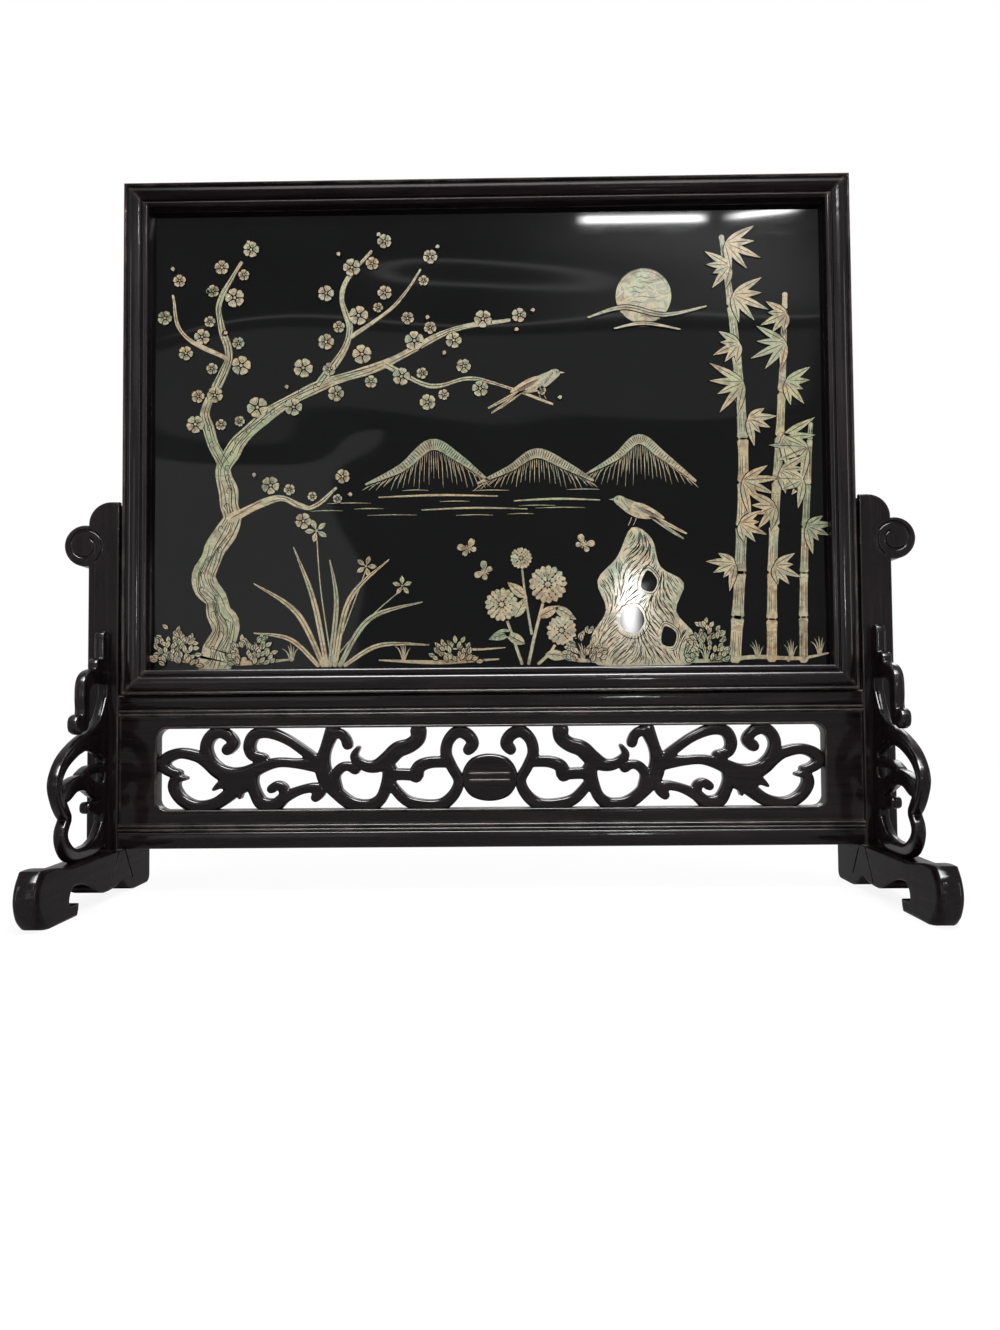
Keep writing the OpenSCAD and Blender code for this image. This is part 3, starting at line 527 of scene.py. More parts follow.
GRAIN_ACROSS = 1.0
GRAIN_ALONG = 0.045
EDGE_REACH = 0.002
EDGE_SAMPLES = 6
PIT_SHARE = 0.6

# Turn of a face towards the floor over which the polish fades out, as parts of its normal
DRY_FULL = -0.93
DRY_START = -0.75
# Turn of a face towards the front over which the toe polish sets in, and its strength
TOE_POLISH_FULL = -0.95
TOE_POLISH_START = -0.5
TOE_POLISH = 0.24


def dark_wood(name, axis, coat=0.18, shine=0.03, of_foot=False):
    paint = Paint(name)
    scale = [GRAIN_ACROSS] * 3
    scale[axis] = GRAIN_ALONG
    along = paint.coords(scale)
    plain = paint.coords()
    figure = paint.noise(along, scale=260, detail=6, rough=0.6, warp=0.4)
    streaks = paint.ramp(figure, (0.25, (0.0024, 0.0015, 0.0019)), (0.5, (0.0056, 0.0035, 0.0042)),
                         (0.75, (0.0115, 0.007, 0.0078)))
    cloud = paint.noise(plain, scale=18, detail=4)
    tone = paint.ramp(cloud, (0.3, (0.7, 0.7, 0.72)), (0.7, (1.0, 0.98, 0.97)))
    pores = paint.noise(along, scale=900, detail=3, rough=0.5)
    pits = paint.ramp(pores, (0.36, (0.25, 0.22, 0.2)), (0.46, (1, 1, 1)))
    colour = paint.blended(PIT_SHARE, paint.blended(1.0, streaks, tone), pits)
    # Lighter colour on convex edges and bead crests, found by inside occlusion and broken into patches by
    # noise: a painted highlight along the edges as well as rubbed edge wear
    edge = paint.node("AmbientOcclusion", {"Distance": EDGE_REACH}, inside=True, only_local=True,
                      samples=EDGE_SAMPLES)
    convex_wear_and_highlight = paint.spread(edge.outputs["AO"], to=(1, 0), over=(0.4, 0.8))
    wear_and_highlight_patches = paint.noise(plain, scale=70, detail=4)
    patchy_wear_and_highlight = paint.maths("MULTIPLY", convex_wear_and_highlight, paint.spread(wear_and_highlight_patches, to=(0.15, 1), over=(0.38, 0.66)))
    wear_and_highlight_colour = paint.ramp(figure, (0.3, (0.04, 0.03, 0.028)), (0.7, (0.085, 0.068, 0.064)))
    ripple = paint.bump(paint.noise(plain, scale=60, detail=2), strength=0.25, distance=0.0006)
    fine = paint.bump(pores, strength=0.16, distance=0.00012, normal=ripple)
    looks = {
        # The base colour carries the painted highlight and edge wear on convex edges
        "Base Color": paint.blended(patchy_wear_and_highlight, colour, wear_and_highlight_colour, "MIX"),
        "Roughness": paint.spread(cloud, to=(0.2, 0.36)), "Specular IOR Level": shine,
        "Coat Weight": coat, "Coat Roughness": 0.08, "Normal": fine, "Coat Normal": fine,
    }
    if of_foot:
        facing = paint.split(paint.geometry("Normal"))
        dry = (DRY_FULL, DRY_START)
        polished = (TOE_POLISH_FULL, TOE_POLISH_START)
        upper = paint.spread(facing["Z"], to=(0, 1), over=dry)
        front = paint.spread(facing["Y"], to=(TOE_POLISH, coat), over=polished)
        looks["Coat Weight"] = paint.maths("MULTIPLY", upper, front)
        looks["Specular IOR Level"] = paint.spread(facing["Z"], to=(0, shine), over=dry)
    return paint.shaded(looks)


# Height of the panel's slow waves in metres, and the share by which its gloss varies
SWELL = 0.009
SMEAR = 0.06


def black_lacquer(name, gloss):
    paint = Paint(name)
    plain = paint.coords()
    wide = paint.coords((0.55, 1, 1.25))
    haze = paint.noise(plain, scale=14)
    smear = paint.noise(wide, scale=120, detail=6, rough=0.6, warp=0.3)
    slow = paint.noise(wide, scale=5.5, detail=1, rough=0.4, warp=0.3)
    swell = paint.spread(slow, to=(-0.5, 0.5), over=(0, 1))
    calm = paint.spread(paint.split(plain)["Z"], to=(1, 0), over=(0.33, 0.4))
    waves = paint.bump(paint.maths("MULTIPLY", swell, calm), strength=1.0, distance=SWELL)
    return paint.shaded({
        "Base Color": paint.ramp(haze, (0.3, (0.001, 0.0011, 0.0013)), (0.7, (0.0022, 0.0023, 0.0026))),
        "Roughness": paint.spread(smear, to=(gloss, gloss + SMEAR)), "Specular IOR Level": 0.02,
        "Coat Weight": 0.15, "Coat Roughness": gloss, "Normal": waves, "Coat Normal": waves})


def stained_board(name):
    paint = Paint(name)
    figure = paint.noise(paint.coords((GRAIN_ALONG, 1, 1)), scale=190, detail=6, rough=0.6, warp=0.5)
    streaks = paint.ramp(figure, (0.3, (0.005, 0.0038, 0.0036)), (0.5, (0.011, 0.0085, 0.008)),
                         (0.7, (0.021, 0.0165, 0.015)))
    cloud = paint.noise(paint.coords(), scale=9, detail=4)
    tone = paint.ramp(cloud, (0.3, (0.62, 0.62, 0.64)), (0.7, (1.0, 0.99, 0.97)))
    return paint.shaded({
        "Base Color": paint.blended(1.0, streaks, tone),
        "Roughness": paint.spread(cloud, to=(0.34, 0.52)), "Specular IOR Level": 0.12,
        "Normal": paint.bump(figure, strength=0.35, distance=0.0003)})


# Strength of the patches and of the differences between chips in the shell
PATCH_SHARE = 0.8
CHIP_SHARE = 0.9


def pearl_shell(name):
    paint = Paint(name)
    plain = paint.coords()
    layers = paint.noise(plain, scale=95, detail=5, rough=0.6, warp=1.4)
    body = paint.ramp(layers, (0.28, (0.09, 0.075, 0.05)), (0.42, (0.18, 0.15, 0.1)),
                      (0.52, (0.31, 0.27, 0.195)), (0.6, (0.15, 0.165, 0.125)),
                      (0.7, (0.25, 0.2, 0.138)), (0.8, (0.58, 0.52, 0.41)))
    patches = paint.noise(plain, scale=40, detail=3, rough=0.5, warp=0.8)
    sheen = paint.ramp(patches, (0.34, (0.78, 1.0, 0.84)), (0.5, (1, 1, 1)), (0.66, (1.0, 0.84, 0.7)))
    chip = paint.ramp(paint.geometry("Random Per Island"), (0, (0.62, 0.7, 0.62)),
                      (0.35, (0.85, 0.86, 0.74)), (0.6, (1, 0.94, 0.82)), (1, (1, 0.84, 0.64)))
    fibre = paint.noise(plain, scale=900, detail=3)
    return paint.shaded({
        "Base Color": paint.blended(CHIP_SHARE, paint.blended(PATCH_SHARE, body, sheen), chip),
        "Roughness": paint.spread(fibre, to=(0.2, 0.38)), "Specular IOR Level": 0.35,
        "Coat Weight": 0.2, "Coat Roughness": 0.06,
        "Normal": paint.bump(fibre, strength=0.12, distance=0.0001)})


def plain_wood(name):
    paint = Paint(name)
    figure = paint.noise(paint.coords((1, 0.2, 1)), scale=700)
    return paint.shaded({
        "Base Color": paint.ramp(figure, (0.3, (0.03, 0.016, 0.011)), (0.7, (0.09, 0.05, 0.03))),
        "Roughness": paint.spread(figure, to=(0.5, 0.7)), "Specular IOR Level": 0.25,
        "Normal": paint.bump(figure, strength=0.2, distance=0.0002)})


def dull_steel(name):
    paint = Paint(name)
    stain = paint.noise(paint.coords(), scale=800, detail=4)
    return paint.shaded({
        "Base Color": paint.ramp(stain, (0.35, (0.16, 0.13, 0.11)), (0.65, (0.42, 0.41, 0.39))),
        "Roughness": paint.spread(stain, to=(0.3, 0.55)), "Metallic": 1})


wood_x = dark_wood("dark_wood_x", 0)
wood_top = dark_wood("dark_wood_top", 0, coat=0.015, shine=0.004)
wood_y = dark_wood("dark_wood_y", 1, coat=0.06, shine=0.006, of_foot=True)
wood_z = dark_wood("dark_wood_z", 2)
lacquer = black_lacquer("black_lacquer", gloss=0.03)
line_lacquer = black_lacquer("black_lacquer_line", gloss=0.22)
board_stain = stained_board("stained_board")
shell = pearl_shell("shell")
peg_wood = plain_wood("plain_wood")
steel = dull_steel("steel")

plain_finish = {
    "lacquer_panel": lacquer, "back_board": board_stain, "back_board_brads": steel,
    "frame_corner_splines": peg_wood, "rail_pegs": peg_wood, "foot_pegs": peg_wood,
    "spandrel_dowels": peg_wood, "left_tongue_strip": wood_z, "right_tongue_strip": wood_z,
}
for node_name, node_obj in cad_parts.items():
    finish = plain_finish.get(node_name, shell if node_name.startswith("inlay") else wood_x)
    node_obj.data.materials.clear()
    node_obj.data.materials.append(finish)


# Screen frame: four moulded members with mitred ends
def frame_section():
    middle = OUTER_BAND_W + QUIRK_W
    bead = middle + MIDDLE_BAND_W + QUIRK_W
    rabbet = FRAME_FACE - RABBET_W
    return (band(0, OUTER_BAND_W, QUIRK_DEPTH, OUTER_BAND_DROP)
            + band(middle, middle + MIDDLE_BAND_W, QUIRK_DEPTH, 0)
            + band(bead, FRAME_FACE, QUIRK_DEPTH, BEAD_DROP)
            + [(FRAME_FACE, PANEL_RECESS), (rabbet, PANEL_RECESS),
               (rabbet, FRAME_T - BACK_CHAMFER / 2), (rabbet - BACK_CHAMFER / 2, FRAME_T),
               (BACK_CHAMFER, FRAME_T), (0, FRAME_T - BACK_CHAMFER)])


def frame_member(name, node, half, place, material):
    section = frame_section()
    shape = Shape()
    shape.loft([[place(side * (half - d - MITRE_GAP), d, FRAME_FRONT + depth) for d, depth in section]
                for side in (-1, 1)])
    dress(to_object(name, shape), "screen", material, [node], MOULDING_ANGLE)


SCREEN_MID_Z = (SCREEN_Z + SCREEN_TOP) / 2
HALF_H = (SCREEN_TOP - SCREEN_Z) / 2
frame_member("moulded_bottom_rail", "frame_bottom_rail", SCREEN_HALF,
             lambda along, d, y: (along, y, SCREEN_Z + d), wood_x)
frame_member("moulded_top_rail", "frame_top_rail", SCREEN_HALF,
             lambda along, d, y: (along, y, SCREEN_TOP - d), wood_top)
frame_member("moulded_left_stile", "frame_left_stile", HALF_H,
             lambda along, d, y: (d - SCREEN_HALF, y, SCREEN_MID_Z + along), wood_z)
frame_member("moulded_right_stile", "frame_right_stile", HALF_H,
             lambda along, d, y: (SCREEN_HALF - d, y, SCREEN_MID_Z + along), wood_z)


# Stand rails with one broad band and two small beads between the given levels
def stand_rail(name, node, levels, front, back):
    low = levels[0]
    high = levels[-1]
    section = []
    for start, stop in zip(levels, levels[1:]):
        from_z = start + (QUIRK_W / 2 if start > low else 0)
        to_z = stop - (QUIRK_W / 2 if stop < high else 0)
        section += [(front + depth, z) for z, depth in band(from_z, to_z, RAIL_QUIRK_DEPTH, 0)]
    section += [(back - BACK_CHAMFER, high), (back, high - BACK_CHAMFER),
                (back, low + BACK_CHAMFER), (back - BACK_CHAMFER, low)]
    shape = Shape()
    shape.loft([[(x, y, z) for y, z in section] for x in (-POST_IN, POST_IN)])
    dress(to_object(name, shape), "stand", wood_x, [node], MOULDING_ANGLE)


upper_levels = [UPPER_LOW, UPPER_LOW + RAIL_BEAD_H, UPPER_LOW + 2 * RAIL_BEAD_H, upper_high.z]
lower_levels = [lower_low.z, LOWER_TOP - 2 * RAIL_BEAD_H, LOWER_TOP - RAIL_BEAD_H, LOWER_TOP]
stand_rail("moulded_upper_rail", "upper_rail", upper_levels, upper_low.y, upper_high.y)
stand_rail("moulded_lower_rail", "lower_rail", lower_levels, lower_low.y, lower_high.y)


# Posts with a rounded shoulder, a scroll ear and a groove for the screen
EAR_AT = (POST_OUT + EAR_OUT, POST_TOP - EAR_DROP)


def post_outline():
    lean = math.degrees(math.acos(-EAR_OUT / EAR_R))
    return ([(POST_IN, FOOT_H), (POST_OUT, FOOT_H)]
            + arc(EAR_AT, EAR_R, -lean, lean, 3 * BAND_STEPS)
            + arc((POST_OUT - SHOULDER_R, POST_TOP - SHOULDER_R), SHOULDER_R, 0, 90, BAND_STEPS)
            + [(POST_IN, POST_TOP)])


def ear_spiral(face):
    points = []
    for i in range(EAR_STEPS + 1):
        t = i / EAR_STEPS
        a = math.radians(EAR_GROOVE_FROM) - EAR_TURNS * 2 * math.pi * t
        r = EAR_GROOVE_END + (EAR_GROOVE_EYE - EAR_GROOVE_END) * t
        points.append((EAR_AT[0] + r * math.cos(a), EAR_AT[1] + r * math.sin(a), 2 * EAR_GROOVE_R))
    shape = Shape()
    stroke_bar(shape, points, 2 * EAR_GROOVE_R, 1, 1, lambda u, v, up: (u, face + up, v))
    return to_object("ear_cut", shape)


def box_shape(low, high):
    corners = ((low[0], low[1]), (high[0], low[1]), (high[0], high[1]), (low[0], high[1]))
    shape = Shape()
    shape.loft([[(x, y, z) for x, y in corners] for z in (low[2], high[2])])
    return shape


outline = post_outline()
radii = [0] + [POST_EDGE_R] * (len(outline) - 1)
right_post = to_object("carved_right_post", rounded_prism(
    outline, POST_FRONT, POST_BACK, radii, lambda u, v, y: (u, y, v)))
groove_low = (POST_IN - CUT_PAST, POST_MID - GROOVE_T / 2, SCREEN_Z)
groove_high = (POST_IN + GROOVE_DEEP, POST_MID + GROOVE_T / 2, POST_TOP + CUT_PAST)
carve(right_post, to_object("groove_cut", box_shape(groove_low, groove_high)))
carve(right_post, ear_spiral(POST_FRONT))
carve(right_post, ear_spiral(POST_BACK))
left_post = mirrored(right_post, "carved_left_post")
dress(right_post, "stand", wood_z, ["right_post"])
dress(left_post, "stand", wood_z, ["left_post"])


# Feet with a bulging toe, a hook bite and a heel
def foot_outline():
    bite = TOE_REACH - BITE_BACK
    arch_z = BITE_Z + BITE_R
    toe_r = (TOE_H * TOE_H / 4 + TOE_BULGE * TOE_BULGE) / (2 * TOE_BULGE)
    toe_a = math.degrees(math.asin(TOE_H / 2 / toe_r))
    toe_corner = TOE_REACH - TOE_BULGE
    lip = bite - LIP_REACH
    rise = (POST_BACK - POST_FRONT) / 2 + SPANDREL_REACH
    heel_front = -HEEL_REACH + HEEL_R + HEEL_FLAT
    top = [(-HEEL_REACH, FOOT_H)] + handle_curve(
        (rise - RISE_RUN, FOOT_H), (rise, FOOT_H), (rise + RISE_PULL, TOE_H), (toe_corner, TOE_H),
        CURVE_STEPS)
    turn = -toe_a * TOE_BOW
    ahead = math.cos(math.radians(turn))
    down = math.sin(math.radians(turn))
    low = (TOE_REACH - toe_r + toe_r * ahead, TOE_H / 2 + toe_r * down)
    sole = toe_corner - TOE_ROUND
    toe = arc((TOE_REACH - toe_r, TOE_H / 2), toe_r, toe_a, turn, ARCH_STEPS)[1:]
    toe += handle_curve(low, (low[0] + TOE_PULL * down, low[1] - TOE_PULL * ahead),
                        (sole + SOLE_PULL, 0), (sole, 0), CURVE_STEPS)[1:]
    hook = [(lip + LIP_FOOT, 0), (lip + LIP_BULGE, LIP_H / 2), (lip, LIP_H),
            (bite + BITE_R - BITE_LIP, LIP_H + LIP_BULGE)]
    under = (arc((bite, BITE_Z), BITE_R, 0, 90, BITE_STEPS)
             + handle_curve((bite - CURVE_GAP, arch_z), (bite - ARCH_PULL, arch_z),
                            (DROP_REACH + ARCH_END_PULL, DROP_Z), (DROP_REACH, DROP_Z), ARCH_STEPS)
             + handle_curve((DROP_REACH - CURVE_GAP, DROP_Z), (DROP_REACH - DROP_PULL, DROP_Z),
                            (DROP_PULL, DROP_Z), (0, NOTCH_Z), CURVE_STEPS)
             + handle_curve((-CURVE_GAP / 2, NOTCH_Z), (-DROP_PULL, NOTCH_Z / 3),
                            (heel_front + HEEL_PULL, 0), (heel_front, 0), CURVE_STEPS))
    heel = arc((-HEEL_REACH + HEEL_R, HEEL_R), HEEL_R, 270, 180, CURVE_STEPS)
    return top + toe + hook + under + heel


def foot_place(u, v, x):
    post_half = (POST_BACK - POST_FRONT) / 2
    before = max(0, u - post_half) / (TOE_REACH - post_half)
    share = (x - POST_IN) / FOOT_W
    return (POST_IN + share * (FOOT_W - TOE_TAPER * before), POST_MID - u, v)


outline = foot_outline()
radii = []
for (u, v), (u_next, v_next) in zip(outline, outline[1:] + outline[:1]):
    middle = (u + u_next) / 2
    low_share = min(1, max(0, 1 - (v + v_next) / TOE_H))
    toe_r = TOE_EDGE_R + (TOE_LOW_R - TOE_EDGE_R) * low_share
    toe_share = min(1, max(0, (middle - (TOE_REACH - TOE_SOFT)) / TOE_SOFT * TOE_SOFT_RATE))
    radii.append(FOOT_EDGE_R + (toe_r - FOOT_EDGE_R) * toe_share)
right_foot = to_object("carved_right_foot", rounded_prism(
    outline, POST_IN, POST_OUT, radii, foot_place))
for direction in (-1, 1):
    run = Vector((direction * (SCRIBE_SPREAD - SCRIBE_TOP), FOOT_H - SCRIBE_FOOT))
    line = Shape()
    start = Vector((POST_MID - direction * SCRIBE_SPREAD, SCRIBE_FOOT))
    across = Vector((-run.y, run.x)).normalized() * SCRIBE_W / 2
    corners = [start - across, start + across, start + run + across, start + run - across]
    line.loft([[(POST_IN + side * SCRIBE_CUT, c.x, c.y) for c in corners] for side in (-1, 1)])
    carve(right_foot, to_object("scribe_cut", line))
left_foot = mirrored(right_foot, "carved_left_foot")
dress(right_foot, "stand", wood_y, ["right_foot"])
dress(left_foot, "stand", wood_y, ["left_foot"])


# Spandrels: distance before the post, height above the foot, width of the stroke
spandrel_strokes = [
    [(4.2, 126.6, 9.4), (4.2, 112, 9.4)],
    [(4, 110.5, 8), (14.4, 110.4, 8)],
    [(4, 104, 8), (20, 103.8, 8.5), (30, 100, 9.5), (32, 92, 9), (31.5, 84, 8.6), (33, 77, 9)],
    [(40.5, 76.3, 11), (39, 76.3, 11)],
    [(1.6, 106, 5), (1.2, 96, 4), (2, 88, 5.5), (3, 78, 9), (3.2, 66, 9), (3, 54, 6), (2.5, 46, 5),
     (3.5, 36, 8), (3.5, 20, 9), (3, 6, 8)],
    [(2, 90, 5), (8, 77, 9), (19, 70, 9.5), (32, 66, 9)],
    [(3, 61, 12), (17, 66, 12), (31, 66, 9.5)],
    [(32, 66, 9), (44, 62.5, 8), (56.2, 57, 7.4), (63.5, 51, 6.8), (66.9, 44, 6.6), (63.5, 36.4, 7),
     (58, 30, 7.2), (53.5, 26, 5)],
    [(53.5, 25, 5), (58.4, 18.5, 5.8), (57.6, 12.5, 7), (52, 6.8, 8), (44, 3.7, 7.4), (33, 3.2, 7.6),
     (22, 4, 8.6), (12, 7.5, 10), (4, 14, 12)],
    [(4, 36, 10), (17, 38, 8.5), (31, 43, 8.5), (44, 43, 8.5), (55, 39.5, 10), (62, 38, 7)],
    [(2, 50.5, 5), (14, 50, 4.5), (26, 49.5, 5), (36, 46, 5.5)],
    [(4, 28, 12), (16, 28, 7), (25.5, 28.3, 6.5)]
]
SPANDREL_X = POST_IN + SPANDREL_INSET + SPANDREL_T / 2


# Cut away what lies past a plane and close the cut
def trim(obj, at, normal):
    work = bmesh.new()
    work.from_mesh(obj.data)
    geometry = list(work.verts) + list(work.edges) + list(work.faces)
    bmesh.ops.bisect_plane(work, geom=geometry, plane_co=Vector(at) * MM, plane_no=normal,
                           clear_outer=True)
    rim = [edge for edge in work.edges if edge.is_boundary]
    bmesh.ops.holes_fill(work, edges=rim, sides=0)
    bmesh.ops.recalc_face_normals(work, faces=work.faces)
    work.to_mesh(obj.data)
    work.free()


def spandrel(name, direction, reach):
    face = POST_FRONT if direction < 0 else POST_BACK
    stretch = reach / SPANDREL_REACH
    shape = Shape()
    for points in spandrel_strokes:
        stroke_bar(shape, points, SPANDREL_T, SPANDREL_SQUARE, STROKE_STEPS, lambda u, v, up: (
            SPANDREL_X + up, face + direction * u * stretch, FOOT_H + v), SPANDREL_GROW)
    obj = to_object(name, shape)
    soften(obj, SPANDREL_VOXEL, SPANDREL_ROUNDS, KEPT_SHARE)
    trim(obj, (0, face, 0), (0, -direction, 0))
    trim(obj, (0, 0, FOOT_H), (0, 0, -1))
    trim(obj, (0, 0, FOOT_H + SPANDREL_H), (0, 0, 1))
    return obj


front_right = spandrel("carved_front_right_spandrel", -1, SPANDREL_REACH)
rear_right = spandrel("carved_rear_right_spandrel", 1, REAR_REACH)
front_left = mirrored(front_right, "carved_front_left_spandrel")
rear_left = mirrored(rear_right, "carved_rear_left_spandrel")
for carving, node_name in ((front_right, "front_right_spandrel"), (front_left, "front_left_spandrel"),
                           (rear_right, "rear_right_spandrel"), (rear_left, "rear_left_spandrel")):
    dress(carving, "stand", wood_z, [node_name], CARVING_ANGLE)


# Pierced board: border with a beaded opening
CORNER_STEPS = 10
FRET_BEAD_STEPS = 8
FRET_BEAD_SINK = 0.25
FRET_BEAD_GAP = 0.4


def opening_outline(grow):
    w = OPENING_W / 2 + grow
    h = OPENING_H / 2 + grow
    r = FRET_CORNER_R + grow
    ring = []
    for sx, sz, start in ((1, 1, 0), (-1, 1, 90), (-1, -1, 180), (1, -1, 270)):
        ring += arc((sx * (w - r), sz * (h - r)), r, start, start + 90, CORNER_STEPS)
    return ring


def opening_ring(grow, y):
    return [(u, y, OPENING_Z + v) for u, v in opening_outline(grow)]


def board_ring(y):
    z_low = LOWER_TOP - OPENING_Z
    z_high = UPPER_LOW - OPENING_Z
    board = []
    for i, (u, v) in enumerate(opening_outline(0)):
        k = i % (CORNER_STEPS + 1)
        flat_first = (i // (CORNER_STEPS + 1)) % 2 == 0
        on_side = (k < CORNER_STEPS / 2) == flat_first
        if k == CORNER_STEPS // 2:
            board.append((math.copysign(POST_IN, u), z_high if v > 0 else z_low))
        elif on_side:
            board.append((math.copysign(POST_IN, u), v))
        else:
            board.append((u, z_high if v > 0 else z_low))
    return [(u, y, OPENING_Z + v) for u, v in board]


front = POST_MID - FRET_T / 2
back = POST_MID + FRET_T / 2
border = Shape()
bead_mid = FRET_BEAD_W / 2
rings = [board_ring(back), opening_ring(BACK_CHAMFER, back), opening_ring(0, back - BACK_CHAMFER),
         opening_ring(0, front)]
for k in range(1, FRET_BEAD_STEPS):
    a = math.pi * k / FRET_BEAD_STEPS
    rings.append(opening_ring(bead_mid - bead_mid * math.cos(a), front - FRET_BEAD_H * math.sin(a)))
rings += [opening_ring(FRET_BEAD_W, front + FRET_BEAD_SINK),
          opening_ring(FRET_BEAD_W + FRET_BEAD_GAP, front),
          opening_ring(FRET_BEAD_W + FRET_BEAD_GAP + EDGE_HOLD, front), board_ring(front)]
border.loft(rings + [rings[0]], False)
fret_border = to_object("fret_border", border)
dress(fret_border, "stand", wood_x, ["fret_panel"], MOULDING_ANGLE)

# Scrolls of one half: distance from the middle, height, width of the stroke
scrolls = [
    [(104, 2, 8), (116, 3, 5), (127, 3.5, 5), (138, 0.5, 7), (147, -4, 10), (155, -4.5, 10), (163, -1, 8),
     (169, 4, 7), (175, 7.5, 6), (185, 9.5, 5.5), (193, 7, 6), (196, 2.5, 6), (191.5, -1.5, 5),
     (187, -2.5, 4)],
    [(94, 22, 8), (98, 12, 6), (100, 3, 8), (98, -6, 9), (91, -15, 7), (82, -21.5, 7), (72, -22.5, 7),
     (65, -18, 6), (61.5, -9, 6), (60.5, -2, 6)],
    [(97, 15, 5), (94.5, 19.5, 5.5), (90, 20.5, 5), (86.5, 18, 5), (85, 14, 5.5)],
    [(91, -13, 5), (92.5, -5, 5), (89, 0, 5), (84.5, 1, 4.5), (80.5, -1, 5)],
    [(78.5, 12, 1.5), (81, 6.5, 4), (75, 1.5, 5.5), (68, 1, 7), (61, 5, 9), (55, 10.5, 9), (48, 13, 8),
     (43, 17, 8), (42.5, 22, 9)],
    [(62, 3, 6), (58.5, -3, 6.5), (60, -10, 5)],
    [(59, -10, 5), (50.5, -19, 5.5), (40, -22.5, 6.5), (29, -22, 6.5), (21.5, -16, 6), (18.5, -8, 5.5),
     (22.5, 0, 5.5), (26, 8, 6), (24.5, 16, 6), (19, 21, 6.5), (12.8, 19, 6.5), (10, 14, 6.5),
     (12.5, 10.5, 6)],
    [(25, 3, 5.5), (35, 3, 6), (42, 0.5, 7), (44, -4.5, 8)],
    [(44, -4.5, 6), (51, -4, 6), (58, -4, 6)],
    [(102, 3, 6), (112, 11, 5), (122, 17.5, 5), (133, 21.5, 6), (141, 20, 6), (144, 13.5, 6), (142, 8, 5.5),
     (136, 6, 5.5)],
    [(160, -3, 8), (167, 4, 6.5), (170, 12, 6), (168, 18.5, 6), (162.5, 22, 6.5), (156.5, 19.5, 5.5),
     (153.5, 15, 5.5), (157, 11.5, 6)],
    [(144, -6, 10), (152, -10, 11), (160, -9, 5), (165, -12, 1)],
    [(150, -11, 7), (149.5, -17, 1)],
    [(151, -11, 8), (163, -20, 6.5), (175, -22.5, 6.5), (184, -18.5, 6), (189, -11.5, 6), (188, -6, 5),
     (182.5, -5.5, 1.5)],
    [(144, -4, 8), (141, -13, 6), (136.5, -20.5, 7), (128.5, -21.5, 7), (122.5, -17, 6), (113.5, -13, 4.5),
     (105, -11.5, 5), (101.5, -13.5, 6), (104, -17, 5)],
    [(123, -17, 5), (123.5, -12, 5), (127, -10, 4.5), (130.5, -12, 4.5)]
]
medallion = [(16.8, -6), (11.8, 4.6), (0, 8), (-11.8, 4.6), (-16.8, -6), (-11.8, -16.6), (0, -20),
             (11.8, -16.6)]
DRAWN_W = 397
DRAWN_H = 48
scroll_shape = Shape()
for side in (-1, 1):
    for points in scrolls:
        stroke_bar(scroll_shape, points, SCROLL_T, SCROLL_SQUARE, STROKE_STEPS, lambda u, v, up: (
            side * u * OPENING_W / DRAWN_W, POST_MID + up, OPENING_Z + v * OPENING_H / DRAWN_H),
            SCROLL_GROW)
fret_scrolls = to_object("fret_scrolls", scroll_shape)
soften(fret_scrolls, SCROLL_VOXEL, SCROLL_ROUNDS, KEPT_SHARE)
trim(fret_scrolls, (0, 0, LOWER_TOP + SCROLL_TUCK), (0, 0, -1))
trim(fret_scrolls, (0, 0, UPPER_LOW - SCROLL_TUCK), (0, 0, 1))
dress(fret_scrolls, "stand", wood_x, ["fret_panel"], CARVING_ANGLE)

# Medallion with a domed rim and two raised ribs
MEDALLION_EDGE_R = 2.2
RIB_W = 24
RIB_H = 1.2
RIB_OUT = 0.8
RIB_LEVELS = (-4, -8)
RIB_STEPS = 8
outline = [(u * OPENING_W / DRAWN_W, v * OPENING_H / DRAWN_H) for u, v in closed_curve(medallion, 8)]
domed = rounded_prism(outline, front, back, [MEDALLION_EDGE_R] * len(outline),
                      lambda u, v, y: (u, y, OPENING_Z + v))
for level in RIB_LEVELS:
    middle = OPENING_Z + level * OPENING_H / DRAWN_H + RIB_H / 2
    half_round = []
    for k in range(RIB_STEPS + 1):
        a = math.pi * k / RIB_STEPS
        half_round.append((front - RIB_OUT * math.sin(a), middle - RIB_H / 2 * math.cos(a)))
    half_round += [(front + RIB_OUT, middle + RIB_H / 2), (front + RIB_OUT, middle - RIB_H / 2)]
    domed.loft([[(x, y, z) for y, z in half_round] for x in (-RIB_W / 2, RIB_W / 2)])
fret_medallion = to_object("fret_medallion", domed)
dress(fret_medallion, "stand", wood_x, ["fret_panel"])


# Shell picture: places are measured from the middle of the sight's lower edge
INLAY_T = 0.6
THIN_T = 0.35
RAISED = 0.16
HALO = 0.07
INLAY_FRONT = PANEL_FRONT - INLAY_T
THIN_FRONT = PANEL_FRONT - THIN_T
RAISED_FRONT = INLAY_FRONT - RAISED
BACKING_FRONT = INLAY_FRONT - HALO
RIM = 0.12
FIELD_P = 200
FIELD_Q = 274
